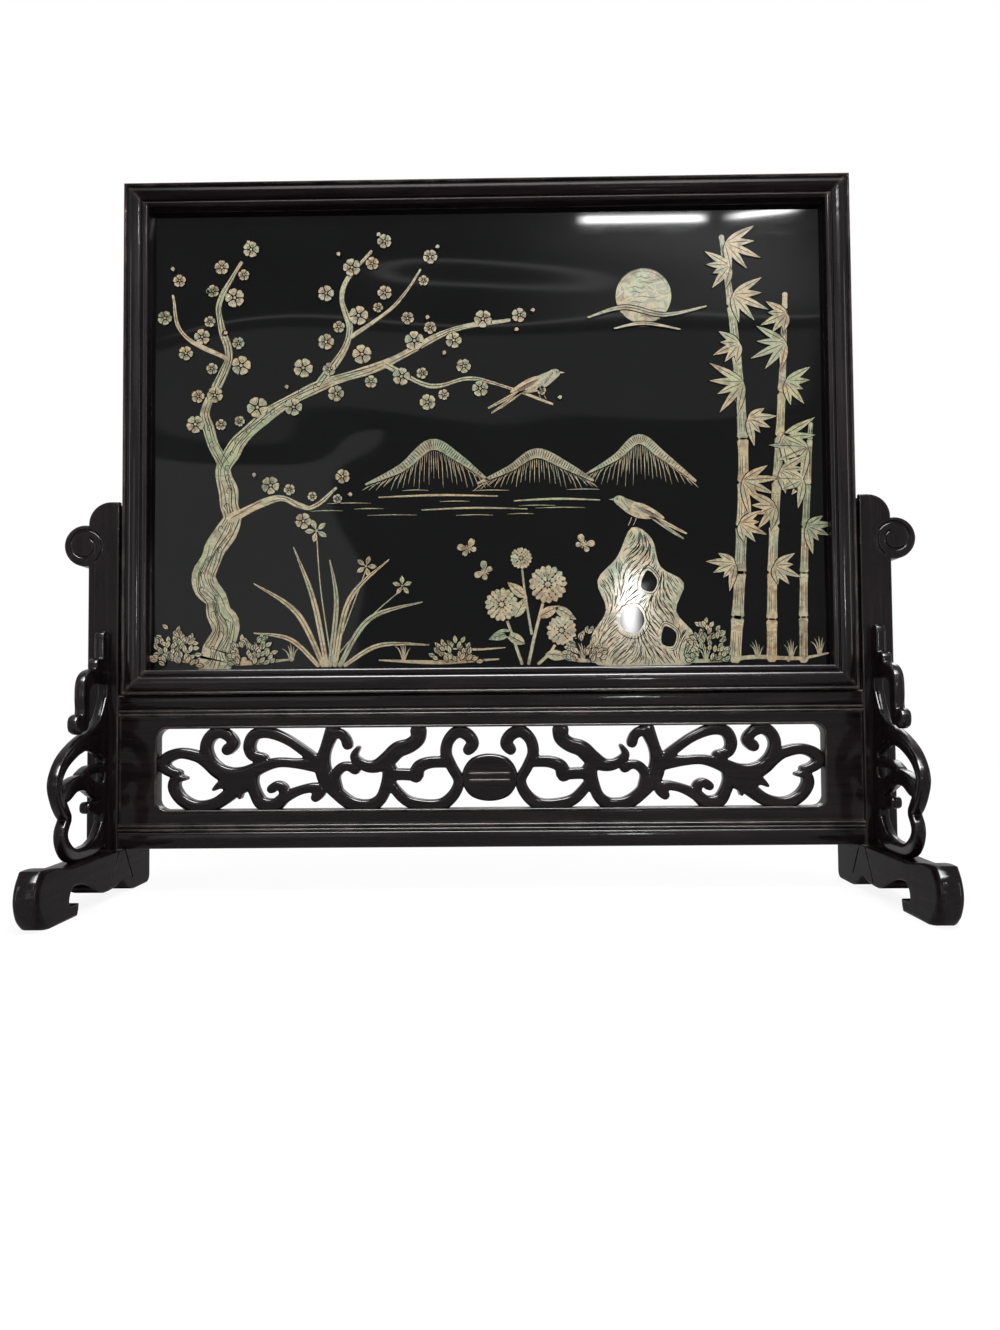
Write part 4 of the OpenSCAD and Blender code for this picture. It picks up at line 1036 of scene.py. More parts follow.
# Engraved lines: height, depth, bevel, gain in width, share of the width at the ends, and drawn widths
LINE_UP = 0.03
LINE_SINK = 0.1
LINE_RIM = 0.02
LINE_GAIN = 1.55
LINE_START = 0.5
LINE_END = 0.4
FAINT_LINE = 0.16
HAIR_LINE = 0.18
FINE_LINE = 0.2
TAIL_LINE = 0.22
DOWN_LINE = 0.24
VEIN_LINE = 0.26
FOLD_LINE = 0.28
BOLD_LINE = 0.3
# Strip ends, and the least part of a strip or plate that stays flat
END_REACH = 0.3
END_SHARE = 0.5
STRIP_FLAT = 0.3
PLATE_FLAT = 0.5
# Steps in height between plates that lie over each other
EYE_LIFT = 0.04
ORCHID_EYE_LIFT = 0.05
BLADE_LIFT = 0.02
DAISY_LEAF_LIFT = 0.1
DAISY_RING_LIFT = 0.1
DAISY_EYE_LIFT = 0.34
TAIL_LIFT = 0.03
WING_LIFT = 0.08
GRASS_LIFT = 0.01
LIMB_LIFT = 0.015
TUFT_LIFT = 0.012
LEAF_LIFT = 0.011
SEED = 11
dice = random.Random(SEED)


def on_picture(p, q, y):
    return (p, y, SIGHT_Z + q)


# Tapered strip with bevelled sides along points of place and width
def ribbon(shape, points, front=INLAY_FRONT, back=PANEL_FRONT, steps=6, rim=RIM):
    curve = open_curve(points, steps)
    stations = [(p, q, w, course(curve, i)) for i, (p, q, w) in enumerate(curve)]
    p, q, w, run = stations[0]
    stations.insert(0, (p - run.x * w * END_REACH, q - run.y * w * END_REACH, w * END_SHARE, run))
    p, q, w, run = stations[-1]
    stations.append((p + run.x * w * END_REACH, q + run.y * w * END_REACH, w * END_SHARE, run))
    rings = []
    for p, q, w, run in stations:
        half = w / 2
        top = max(half - rim, half * STRIP_FLAT)
        rings.append([on_picture(p - run.y * half, q + run.x * half, back),
                      on_picture(p - run.y * top, q + run.x * top, front),
                      on_picture(p + run.y * top, q - run.x * top, front),
                      on_picture(p + run.y * half, q - run.x * half, back)])
    shape.loft(rings)


def middle_of(points):
    return sum(p for p, q in points) / len(points), sum(q for p, q in points) / len(points)


# Outline made larger or smaller about its middle
def grown(points, share):
    mid_p, mid_q = middle_of(points)
    return [(mid_p + (p - mid_p) * share, mid_q + (q - mid_q) * share) for p, q in points]


# Flat chip with bevelled sides
def plate(shape, chip, front=INLAY_FRONT, back=PANEL_FRONT, rim=RIM):
    mid_p, mid_q = middle_of(chip)
    size = sum(math.hypot(p - mid_p, q - mid_q) for p, q in chip) / len(chip)
    top = grown(chip, max(PLATE_FLAT, 1 - rim / size))
    shape.loft([[on_picture(p, q, back) for p, q in chip], [on_picture(p, q, front) for p, q in top]])


def turned(points, at, angle, flip=1):
    c = math.cos(math.radians(angle))
    s = math.sin(math.radians(angle))
    return [(at[0] + flip * (p * c - q * s), at[1] + p * s + q * c) for p, q in points]


# Leaf or petal along +p from the start, widest at the given share
def leaf(start, length, wide, peak=0.45, steps=7):
    power = math.log(0.5) / math.log(peak)
    upper = []
    for i in range(steps + 1):
        t = i / steps
        upper.append((start + length * t, wide / 2 * math.sin(math.pi * t ** power)))
    return upper + [(p, -q) for p, q in upper[-2:0:-1]]


# Petal with a round, slightly notched end
def petal(start, length, wide):
    half = wide / 2
    side = [(0, 0.14), (0.3, 0.62), (0.6, 0.98), (0.84, 0.84), (0.98, 0.42), (0.95, 0.0)]
    upper = [(start + length * t, half * h) for t, h in side]
    return upper + [(p, -q) for p, q in upper[-2::-1]]


def disc(at, r, sides=14):
    angles = [2 * math.pi * i / sides for i in range(sides)]
    return [(at[0] + r * math.cos(a), at[1] + r * math.sin(a)) for a in angles]


def rosette(at, r, lobes, depth, angle, steps=8):
    count = lobes * steps
    outline = []
    for i in range(count):
        a = 2 * math.pi * i / count
        reach = r * (1 - depth + depth * abs(math.cos(lobes * a / 2)))
        outline.append((at[0] + reach * math.cos(a + math.radians(angle)),
                        at[1] + reach * math.sin(a + math.radians(angle))))
    return outline


lines = Shape()
halo = Shape()


# Dark plate that shows as an outline round a shell plate
def backing(chip, front=BACKING_FRONT):
    plate(halo, chip, front)


# Dark line cut into a plate, thinner at both ends
def engrave(points, width, front=INLAY_FRONT, steps=4):
    full = width * LINE_GAIN
    widths = [full * LINE_START] + [full] * (len(points) - 2) + [full * LINE_END]
    track = [(p, q, w) for (p, q), w in zip(points, widths)]
    ribbon(lines, track, front - LINE_UP, front + LINE_SINK, steps, LINE_RIM)


def inlay_piece(name, shape, nodes):
    dress(to_object(name, shape), "screen", shell, nodes, CHIP_ANGLE)


# Point beside a curve, by index and share of the half width
def beside(curve, i, share):
    run = course(curve, i)
    reach = curve[i][2] / 2 * share
    return (curve[i][0] - run.y * reach, curve[i][1] + run.x * reach)


# Plum tree
plum_limbs = [
    [(-168, 0.8, 20), (-160, 28, 16), (-172, 58, 14), (-156, 92, 12), (-160, 124, 10), (-138, 152, 8),
     (-104, 172, 6.5), (-62, 186, 5), (-22, 206, 3.5), (14, 212, 2.2)],
    [(-160, 124, 8), (-172, 156, 6), (-158, 190, 5), (-164, 222, 3.5), (-150, 250, 2)],
    [(-104, 172, 5), (-84, 202, 4), (-88, 232, 3), (-70, 256, 1.8)],
    [(-62, 186, 3.5), (-34, 172, 2.8), (-6, 176, 2.2), (40, 160, 1.5)],
    [(-156, 92, 6), (-128, 104, 4), (-108, 98, 3), (-92, 110, 1.8)],
    [(-158, 190, 3), (-186, 206, 2.4), (-192, 230, 1.6)],
    [(-84, 202, 2.6), (-56, 222, 2), (-40, 244, 1.4)]
]
plum_flowers = [
    (-140, 160, 6.5), (-118, 160, 5.5), (-112, 184, 6), (-92, 168, 5), (-76, 192, 6), (-52, 178, 5.5),
    (-44, 200, 6), (-20, 200, 5), (-2, 213, 5.5), (20, 215, 4.5), (-178, 150, 5.5), (-166, 168, 5),
    (-150, 186, 6), (-174, 204, 5), (-154, 228, 6), (-162, 247, 4.5), (-144, 258, 5), (-98, 200, 5),
    (-78, 216, 6), (-98, 230, 5), (-82, 246, 5.5), (-62, 262, 4.5), (-36, 162, 5), (-14, 184, 4.5),
    (-4, 170, 5), (-132, 112, 5.5), (-112, 90, 5), (-88, 117, 4.5), (-184, 194, 4.5), (-197, 216, 4.5),
    (-188, 239, 4), (-62, 230, 4.5), (-48, 214, 4), (-34, 252, 4.5)
]
# Waves of the limbs and of the bark lines: share of the width, and pace along the limb
LIMB_BEND = 0.09
LIMB_BEND_PACE = 2.3
LIMB_SWELL = 0.1
LIMB_SWELL_PACE = 1.9
BARK_STEP = 1.9
BARK_SHARE = 0.6
BARK_EDGE = 0.9
BARK_SPREAD = 0.88
BARK_WAVE = 0.1
BARK_PACE = 1.7
BARK_SHIFT = 5
KNOT_LIMB = 6.5
KNOT_TURN = 0.95
KNOT_TALL = 1.4
KNOT_POINTS = 6
KNOT_OFF = 0.55
KNOT_R = (0.9, 1.5)
branches = Shape()
rough_limbs = []
for k, limb in enumerate(plum_limbs):
    rough_limb = []
    for i, (p, q, w) in enumerate(open_curve(limb, 4)):
        bend = LIMB_BEND * w * math.sin(LIMB_BEND_PACE * i + k)
        swollen = w * (1 + LIMB_SWELL * math.sin(LIMB_SWELL_PACE * i + 2 * k))
        rough_limb.append((p + bend, q + (0 if i == 0 else bend / 2), swollen))
    rough_limbs.append(rough_limb)
    level = INLAY_FRONT - LIMB_LIFT * k
    ribbon(branches, rough_limb, level, steps=3)
    for i in range(len(rough_limb) - 3):
        across = int(rough_limb[i][2] / BARK_STEP)
        for j in range(across):
            share = (2 * j + 1) / across - 1
            if dice.random() < BARK_SHARE and abs(share) < BARK_EDGE:
                waves = [BARK_WAVE * math.sin(BARK_PACE * (i + m) + BARK_SHIFT * share) for m in range(3)]
                sides = [BARK_SPREAD * share + wave for wave in waves]
                engrave([beside(rough_limb, i + m, side) for m, side in enumerate(sides)], BOLD_LINE, level)
    for i in range(2, len(rough_limb) - 2):
        if rough_limb[i][2] > KNOT_LIMB:
            knot = beside(rough_limb, i, dice.uniform(-KNOT_OFF, KNOT_OFF))
            size = dice.uniform(*KNOT_R)
            turns = [KNOT_TURN * a for a in range(KNOT_POINTS)]
            ring = [(knot[0] + size * math.cos(a), knot[1] + KNOT_TALL * size * math.sin(a)) for a in turns]
            engrave(ring, FOLD_LINE, level)
inlay_piece("shell_plum_branches", branches, ["inlay_plum_branches"])

# Smaller blossoms are strewn along the limbs where there is room
FLOWER_OUT = 9
FLOWER_ROOM = 5.2
FLOWER_LOW = 96
FLOWER_LIMB = 9
SMALL_FLOWER_R = (2.8, 4.2)
small_flowers = []
for rough_limb in rough_limbs:
    for i in range(3, len(rough_limb), 2):
        p, q = beside(rough_limb, i, dice.choice((-1, 1)) * (1 + FLOWER_OUT / rough_limb[i][2]))
        near = min(math.hypot(p - a, q - b) - r for a, b, r in plum_flowers + small_flowers)
        in_field = FLOWER_LOW < q < FIELD_Q and abs(p) < FIELD_P
        if near > FLOWER_ROOM and in_field and rough_limb[i][2] < FLOWER_LIMB:
            small_flowers.append((p, q, dice.uniform(*SMALL_FLOWER_R)))

plum_buds = [
    (18, 206, 30), (28, 218, 10), (-36, 214, 70), (-146, 262, 50), (-66, 266, 40), (-192, 246, 110),
    (-30, 258, 20), (44, 164, 10), (-84, 106, 0), (-122, 172, 100), (-170, 232, 160), (-26, 192, 60),
    (-142, 118, 80), (-90, 254, 120), (-160, 206, 40)
]
PETALS = 5
PETAL_TURN = 72
FLOWER_EDGE = 0.55
BUD_R = 2.1
# Blossoms: turn for each millimetre across, depth of the lobes, shares of the radius, and the rays' fan
FLOWER_SPIN = 11
FLOWER_LOBE = 0.26
FLOWER_EYE = 0.17
PETAL_FROM = 0.24
PETAL_LONG = 0.76
PETAL_WIDE = 0.94
RAY_FAN = 16
RAY_FROM = 0.36
RAY_MID = 0.52
RAY_LONG = 0.74
RAY_SHORT = 0.64
blossoms = Shape()
for p, q, r in plum_flowers + small_flowers:
    spin = FLOWER_SPIN * p
    backing(rosette((p, q), r + FLOWER_EDGE, PETALS, FLOWER_LOBE, spin))
    for i in range(PETALS):
        chip = petal(PETAL_FROM * r, PETAL_LONG * r, PETAL_WIDE * r)
        plate(blossoms, turned(chip, (p, q), spin + PETAL_TURN * i), RAISED_FRONT)
        for fan in (-RAY_FAN, 0, RAY_FAN):
            a = math.radians(spin + PETAL_TURN * i + fan)
            shares = (RAY_FROM, RAY_MID, RAY_LONG if fan == 0 else RAY_SHORT)
            ray = [(p + share * r * math.cos(a), q + share * r * math.sin(a)) for share in shares]
            engrave(ray, FINE_LINE, RAISED_FRONT)
    plate(blossoms, disc((p, q), FLOWER_EYE * r, sides=10), RAISED_FRONT - EYE_LIFT)
for p, q, angle in plum_buds:
    backing(disc((p, q), BUD_R, sides=10))
    bud = leaf(start=-1.2, length=3.2, wide=2.6, peak=0.6)
    plate(blossoms, turned(bud, (p, q), angle), RAISED_FRONT)
inlay_piece("shell_plum_blossoms", blossoms, ["inlay_plum_blossoms"])

# Moon behind thin clouds
moon_at = (96, 226)
moon_r = 17
MOON_ROWS = 9
MOON_ROW_LOW = 13
MOON_ROW_STEP = 3
MOON_ROW_REACH = 0.8
MOON_RIMS = (0.9, 0.97)
MOON_RIM_STEP = 0.2
MOON_RIM_RUN = (2, 15)
WISP_OFF = 0.3
WISP_LONG = (0.3, 0.55)
CLOUD_EDGE = 1.2
CLOUD_LINE_UP = 0.1
moon_clouds = [
    [(62, 213, 1.2), (84, 219, 2.8), (108, 214, 2.6), (134, 219, 1.2)],
    [(78, 206, 1), (96, 209, 2.2), (118, 205, 1)]
]
moon = Shape()
plate(moon, disc(moon_at, moon_r, sides=56))
for share in MOON_RIMS:
    rim_angles = [a * MOON_RIM_STEP for a in range(*MOON_RIM_RUN)]
    engrave([(moon_at[0] + moon_r * share * math.cos(a), moon_at[1] + moon_r * share * math.sin(a))
             for a in rim_angles], FAINT_LINE)
wisp = ((-1, 0), (-0.3, 0.7), (0.4, -0.3), (1, 0.4))
for level in range(MOON_ROWS):
    q = moon_at[1] - MOON_ROW_LOW + MOON_ROW_STEP * level
    reach = MOON_ROW_REACH * math.sqrt(moon_r ** 2 - (q - moon_at[1]) ** 2)
    mid = moon_at[0] + dice.uniform(-WISP_OFF, WISP_OFF) * reach
    length = reach * dice.uniform(*WISP_LONG)
    engrave([(mid + share * length, q + up) for share, up in wisp], FINE_LINE)
for cloud in moon_clouds:
    wide_cloud = [(p, q, w + CLOUD_EDGE) for p, q, w in cloud]
    ribbon(halo, wide_cloud, BACKING_FRONT)
    ribbon(moon, cloud, RAISED_FRONT)
    engrave([(p, q + CLOUD_LINE_UP) for p, q, w in open_curve(cloud, 3)[2:-2]], BOLD_LINE, RAISED_FRONT)
inlay_piece("shell_moon", moon, ["inlay_moon"])

# Far hills with falling brush lines, and water
hill_ridges = [
    [(-74, 112, 1.2), (-52, 122, 5), (-34, 136, 7), (-18, 128, 5), (0, 114, 1.5)],
    [(-6, 112, 1.2), (14, 121, 4), (30, 130, 6), (48, 122, 5), (64, 113, 1.5)],
    [(60, 117, 1), (78, 127, 4), (92, 138, 6), (106, 128, 5), (126, 112, 1.5)]
]
water_lines = [
    [(-66, 104, 0.8), (-30, 105, 1.4), (6, 104, 0.8)],
    [(16, 101, 0.8), (42, 102, 1.4), (68, 101, 0.8)],
    [(-40, 96, 0.8), (-8, 97, 1.2), (24, 96, 0.8)]
]
water_strokes = [
    (-84, 100.5, 26), (-58, 93, 30), (30, 98, 22), (-20, 101, 18), (44, 96.5, 30), (-8, 92.5, 22),
    (-98, 96, 20), (2, 107.5, 22), (-44, 108, 16), (58, 107.5, 20), (-72, 97, 18), (20, 93, 16)
]
HILL_FOOT = 109
HILL_LEAN = 0.16
# Brush lines: shares of the fall to the foot, the least fall, and the gap under the ridge
LONG_FALL = (0.55, 0.85)
SHORT_FALL = (0.15, 0.5)
LEAST_FALL = 1.5
FALL_GAP = 0.9
# Lines across the ridge: its least width there, their shares of its half width, and steps along it
RIDGE_LINE_W = 2.2
RIDGE_SHARES = (0.8, 0.1, -0.7)
RIDGE_STEPS = 13
hills = Shape()
for ridge in hill_ridges:
    ribbon(hills, ridge)
    track = open_curve(ridge, RIDGE_STEPS)
    for i in range(3, len(track) - 3):
        p, q, w = track[i]
        drop = (q - HILL_FOOT) * dice.uniform(*(LONG_FALL if i % 2 else SHORT_FALL))
        lean = (p - ridge[2][0]) * HILL_LEAN
        if w > RIDGE_LINE_W:
            engrave([beside(track, i, share) for share in RIDGE_SHARES], FOLD_LINE)
        if drop > LEAST_FALL:
            foot_q = q - w / 2 - FALL_GAP
            ribbon(hills, [(p, foot_q, 0.3), (p + lean * 0.5, foot_q - drop * 0.5, 0.5),
                           (p + lean, foot_q - drop, 0.2)], THIN_FRONT, steps=3, rim=0.06)
for track in water_lines:
    ribbon(hills, track)
for p, q, length in water_strokes:
    ribbon(hills, [(p - length / 2, q, 0.25), (p, q + 0.3, 0.6), (p + length / 2, q, 0.25)],
           THIN_FRONT, steps=5, rim=0.08)
inlay_piece("shell_hills", hills, ["inlay_hills"])

# Bamboo
bamboo_canes = [
    [(148, 4, 7), (152, 60, 6.6), (155, 130, 6), (151, 200, 5), (144, 262, 3)],
    [(170, 4, 6), (172, 70, 5.5), (178, 150, 4.8), (182, 226, 3)],
    [(189, 3, 5), (190, 50, 4.6), (193, 104, 4), (196, 146, 2.6)]
]
bamboo_tufts = [(150, 226), (156, 172), (154, 112), (182, 196), (178, 138), (194, 132), (146, 258)]
small_tufts = [
    (149, 244), (158, 150), (183, 214), (181, 172), (191, 112), (152, 86), (174, 96), (192, 84), (154, 196),
    (177, 118), (149, 62), (172, 60)
]
BAMBOO_JOINT = 27
JOINT_GAP = 1.1
JOINT_SWELL = 0.16
TUFT_LEAVES = 5
LEAF_TURN = 27
LEAF_DROOP = 24
CANE_STEPS = 24
TUFT_LEAF = 18
SMALL_TUFT_CUT = 6
TUFT_LEAF_STEP = 3
CANE_LINES = (-0.68, -0.4, 0.2, 0.55)
bamboo = Shape()
for cane in bamboo_canes:
    track = open_curve(cane, CANE_STEPS)
    piece_points = []
    joint = BAMBOO_JOINT
    for i, (p, q, w) in enumerate(track):
        piece_points.append((p, q, w))
        at_end = i == len(track) - 1
        if (q > joint - JOINT_GAP or at_end) and len(piece_points) > 2:
            top = len(piece_points) - 1
            cane_piece = [(a, b, c * (1 + JOINT_SWELL * abs(2 * j / top - 1) ** 4))
                          for j, (a, b, c) in enumerate(piece_points)]
            ribbon(bamboo, cane_piece, steps=1)
            for share in CANE_LINES:
                span = list(range(1, max(2, top - 1)))[::2]
                engrave([beside(cane_piece, j, share) for j in span] or [cane_piece[0][:2]] * 2, FINE_LINE)
            piece_points = []
            joint += BAMBOO_JOINT
for k, tuft in enumerate(bamboo_tufts + small_tufts):
    flip = -1 if k % 2 else 1
    shortest = TUFT_LEAF - (0 if k < len(bamboo_tufts) else SMALL_TUFT_CUT)
    leaves = [((i - 2) * LEAF_TURN - LEAF_DROOP, shortest + TUFT_LEAF_STEP * ((i + k) % 3))
              for i in range(TUFT_LEAVES)]
    for angle, length in leaves:
        edge = leaf(start=-0.6, length=length + 1.2, wide=5.8, peak=0.4)
        backing(turned(edge, tuft, angle, flip))
    for i, (angle, length) in enumerate(leaves):
        level = RAISED_FRONT - TUFT_LIFT * i
        chip = leaf(start=0, length=length, wide=4.6, peak=0.4)
        plate(bamboo, turned(chip, tuft, angle, flip), level)
        vein = [(1.5, 0), (length * 0.5, 0.1), (length * 0.9, 0)]
        engrave(turned(vein, tuft, angle, flip), VEIN_LINE, level)
inlay_piece("shell_bamboo", bamboo, ["inlay_bamboo"])

# Garden rock: the solid plate stays, with engraved folds over it
rock_outline = [
    (66, 1), (62, 18), (71, 34), (66, 52), (78, 66), (87, 84), (99, 77), (104, 60), (118, 50), (113, 33),
    (124, 18), (121, 1)
]
rock_holes = [
    [(80, 24), (88, 20), (94, 27), (90, 36), (81, 34)], [(92, 48), (99, 45), (102, 52), (96, 58)],
    [(104, 14), (111, 12), (113, 20), (106, 24)]
]
ROCK_MARGIN = 1.1
ROCK_STEPS = 6
rock_ring = closed_curve(rock_outline, ROCK_STEPS)
hole_rings = [closed_curve(hole, ROCK_STEPS) for hole in rock_holes]


def inside(p, q, ring):
    odd = False
    for (a, b), (c, d) in zip(ring, ring[1:] + ring[:1]):
        if (b > q) != (d > q) and p < a + (c - a) * (q - b) / (d - b):
            odd = not odd
    return odd


def on_rock(p, q):
    for a, b in ((-ROCK_MARGIN, 0), (ROCK_MARGIN, 0), (0, -ROCK_MARGIN), (0, ROCK_MARGIN)):
        if not inside(p + a, q + b, rock_ring) or any(inside(p + a, q + b, ring) for ring in hole_rings):
            return False
    return True


FOLD_STEP = 2.7
FOLD_RUN = 1.9
FOLD_ROWS = 31
FOLD_COLUMNS = 24
FOLD_POINTS = (3, 5)
FOLD_WIDTH = (0.26, 0.42)
FOLD_STRAY = 0.8
# Heading of the folds in degrees, its swing, and the waves that turn it
FOLD_HEADING = 84
FOLD_SWING = 46
FOLD_WAVE_P = 0.13
FOLD_WAVE_Q = 0.09
FOLD_WARP = 1.1
# Lines round the holes: sizes as shares of the hole, and where they start and how far they run
HOLE_LINES = (1.2, 1.42)
HOLE_STARTS = (0, 12)
HOLE_SPAN = 18
for row in range(FOLD_ROWS):
    for column in range(FOLD_COLUMNS):
        p = rock_outline[1][0] + FOLD_STEP * (column + dice.uniform(0, FOLD_STRAY))
        q = FOLD_STEP * (row + dice.uniform(0, FOLD_STRAY))
        fold = []
        for _ in range(dice.randint(*FOLD_POINTS)):
            wave = FOLD_WAVE_P * p + FOLD_WARP * math.sin(FOLD_WAVE_Q * q)
            heading = math.radians(FOLD_HEADING + FOLD_SWING * math.sin(wave))
            if not on_rock(p, q):
                break
            fold.append((p, q))
            p += FOLD_RUN * math.cos(heading)
            q += FOLD_RUN * math.sin(heading)
        if len(fold) > 2:
            engrave(fold, dice.uniform(*FOLD_WIDTH), steps=3)
for ring in hole_rings:
    for share in HOLE_LINES:
        wide_ring = grown(ring, share)
        start = dice.randint(*HOLE_STARTS)
        engrave((wide_ring + wide_ring)[start:start + HOLE_SPAN:2], BOLD_LINE, steps=3)

# Orchids
orchid_blades = [
    [(-100, 2, 3), (-116, 34, 3.4), (-142, 52, 0.8)], [(-98, 2, 3), (-106, 42, 3.2), (-118, 74, 0.8)],
    [(-96, 2, 3), (-92, 40, 3), (-96, 66, 0.8)], [(-93, 2, 3), (-84, 42, 3.2), (-60, 66, 0.8)],
    [(-90, 2, 3), (-72, 30, 3.2), (-40, 40, 0.8)], [(-87, 2, 2.6), (-66, 14, 2.8), (-36, 14, 0.8)],
    [(-103, 2, 2.6), (-120, 18, 2.8), (-142, 22, 0.8)]
]
orchid_flowers = [(-74, 62, 6), (-104, 84, 6.5), (-52, 50, 5.5)]
ORCHID_ROOT = (-95, 4)
BLADE_STEPS = 6
STALK_BOW = 2
STALK_RISE = 6
ORCHID_EYE = 0.14
orchids = Shape()
for k, blade in enumerate(orchid_blades):
    level = INLAY_FRONT - BLADE_LIFT * k
    ribbon(orchids, blade, level, steps=8)
    track = open_curve(blade, BLADE_STEPS)
    engrave([point[:2] for point in track[1:-1:2]], VEIN_LINE, level)
for p, q, r in orchid_flowers:
    bow = STALK_BOW if p > ORCHID_ROOT[0] else -STALK_BOW
    bend = ((p + ORCHID_ROOT[0]) / 2 + bow, q / 2 + STALK_RISE, 0.8)
    stalk = [(*ORCHID_ROOT, 0.9), bend, (p, q - 2, 0.7)]
    ribbon(orchids, stalk, THIN_FRONT, steps=6, rim=0.1)
    for i in range(PETALS):
        chip = leaf(start=0.12 * r, length=1.0 * r, wide=0.5 * r, peak=0.55)
        plate(orchids, turned(chip, (p, q), p + PETAL_TURN * i), RAISED_FRONT)
        vein = [(0.3 * r, 0), (0.6 * r, 0.04 * r), (0.95 * r, 0)]
        engrave(turned(vein, (p, q), p + PETAL_TURN * i), FINE_LINE, RAISED_FRONT)
    plate(orchids, disc((p, q), ORCHID_EYE * r, sides=8), RAISED_FRONT - ORCHID_EYE_LIFT)
inlay_piece("shell_orchids", orchids, ["inlay_orchids"])

# Chrysanthemums with three rings of petals
daisy_heads = [(36, 50, 12), (8, 38, 10.5), (44, 22, 9.5), (20, 66, 7)]
daisy_stems = [
    [(24, 2, 2), (28, 20, 2), (36, 50, 1.6)], [(20, 2, 2), (14, 20, 1.8), (8, 38, 1.4)],
    [(30, 2, 2), (38, 10, 1.8), (44, 22, 1.4)], [(26, 20, 1.6), (22, 46, 1.4), (20, 66, 1.2)]
]
daisy_leaves = [
    (22, 14, 150), (30, 30, 28), (14, 22, 200), (34, 8, -8), (23, 42, 140), (40, 36, -30), (16, 30, 60)
]
# Rings of petals: count, start, length and width as shares of the radius
daisy_rings = [(17, 0.48, 0.52, 0.34), (13, 0.3, 0.44, 0.3), (9, 0.14, 0.34, 0.26)]
daisy_rib = [(1, 0), (7, 0.2), (14, 0)]
DAISY_VEINS = (4, 7, 10)
DAISY_EDGE = 1.02
DAISY_TOSS = 3
DAISY_LONG = (0.92, 1.0)
DAISY_PEAK = 0.62
DAISY_EYE = 0.15
daisies = Shape()
for k, stem in enumerate(daisy_stems):
    ribbon(daisies, stem, INLAY_FRONT - BLADE_LIFT * k)
for p, q, angle in daisy_leaves:
    level = INLAY_FRONT - DAISY_LEAF_LIFT
    chip = leaf(start=0, length=15, wide=6.4, peak=0.42)
    plate(daisies, turned(chip, (p, q), angle), level)
    engrave(turned(daisy_rib, (p, q), angle), FOLD_LINE, level)
    for along in DAISY_VEINS:
        for sign in (-1, 1):
            vein = [(along, 0), (along + 1.2, sign * 1.0), (along + 2.4, sign * 1.7)]
            engrave(turned(vein, (p, q), angle), HAIR_LINE, level)
for p, q, r in daisy_heads:
    backing(disc((p, q), DAISY_EDGE * r, sides=30))
    for ring, (count, start, length, wide) in enumerate(daisy_rings):
        level = RAISED_FRONT - DAISY_RING_LIFT * ring
        for i in range(count):
            angle = 360 * (i + 0.5 * ring) / count + dice.uniform(-DAISY_TOSS, DAISY_TOSS)
            long = length * r * dice.uniform(*DAISY_LONG)
            chip = leaf(start * r, long, wide * r, DAISY_PEAK, steps=6)
            plate(daisies, turned(chip, (p, q), angle), level)
    plate(daisies, disc((p, q), DAISY_EYE * r, sides=10), RAISED_FRONT - DAISY_EYE_LIFT)
inlay_piece("shell_chrysanthemums", daisies, ["inlay_chrysanthemums"])

# Birds facing +p with their feet near the origin
bird_body = [
    (-14, 2.5), (-9, 1.0), (-2, 1.6), (4, 4.4), (9, 8.4), (12.2, 11.4), (12.6, 13.6), (11.2, 15.2),
    (8.4, 15.4), (5.2, 13.8), (1, 12.2), (-5, 9.4), (-11, 6)
]
bird_beak = [(12.3, 13.9), (15.6, 13.2), (12.4, 12.6)]
bird_tails = [[(-8, 4, 3), (-20, -2.4, 2.4), (-31, -8, 1.2)], [(-9, 3, 2), (-20, -5, 2), (-29, -11, 1)]]
bird_wing = [(2, 10.5), (-2, 11.2), (-8, 9), (-15, 4.4), (-18, 1.2), (-12, 2), (-5, 4), (1, 7)]
bird_leg = [(-1, 2, 0.5), (0, -0.6, 0.4), (1, -2.6, 0.4)]
bird_eye = [(10.6, 13.4)]
# Place of each bird's feet, and the way it faces
bird_spots = [((32, 166), 1), ((89, 88), -1)]
# Feather lines: place of the first, and the step to the next
bird_quill = [(0.5, 9.6, -1.2, -1.0), (-6, 7.2, -1.2, -1.1), (-11.5, 4.2, -1.1, -0.6)]
bird_down = [(3, 6.2, 0.9, 1.1), (3.6, 7.2, 0.9, 1.1), (3.2, 8.4, 0.9, 1.1)]
QUILLS = 5
DOWNS = 6
BIRD_EYE_R = 0.55
LEG_APART = 3
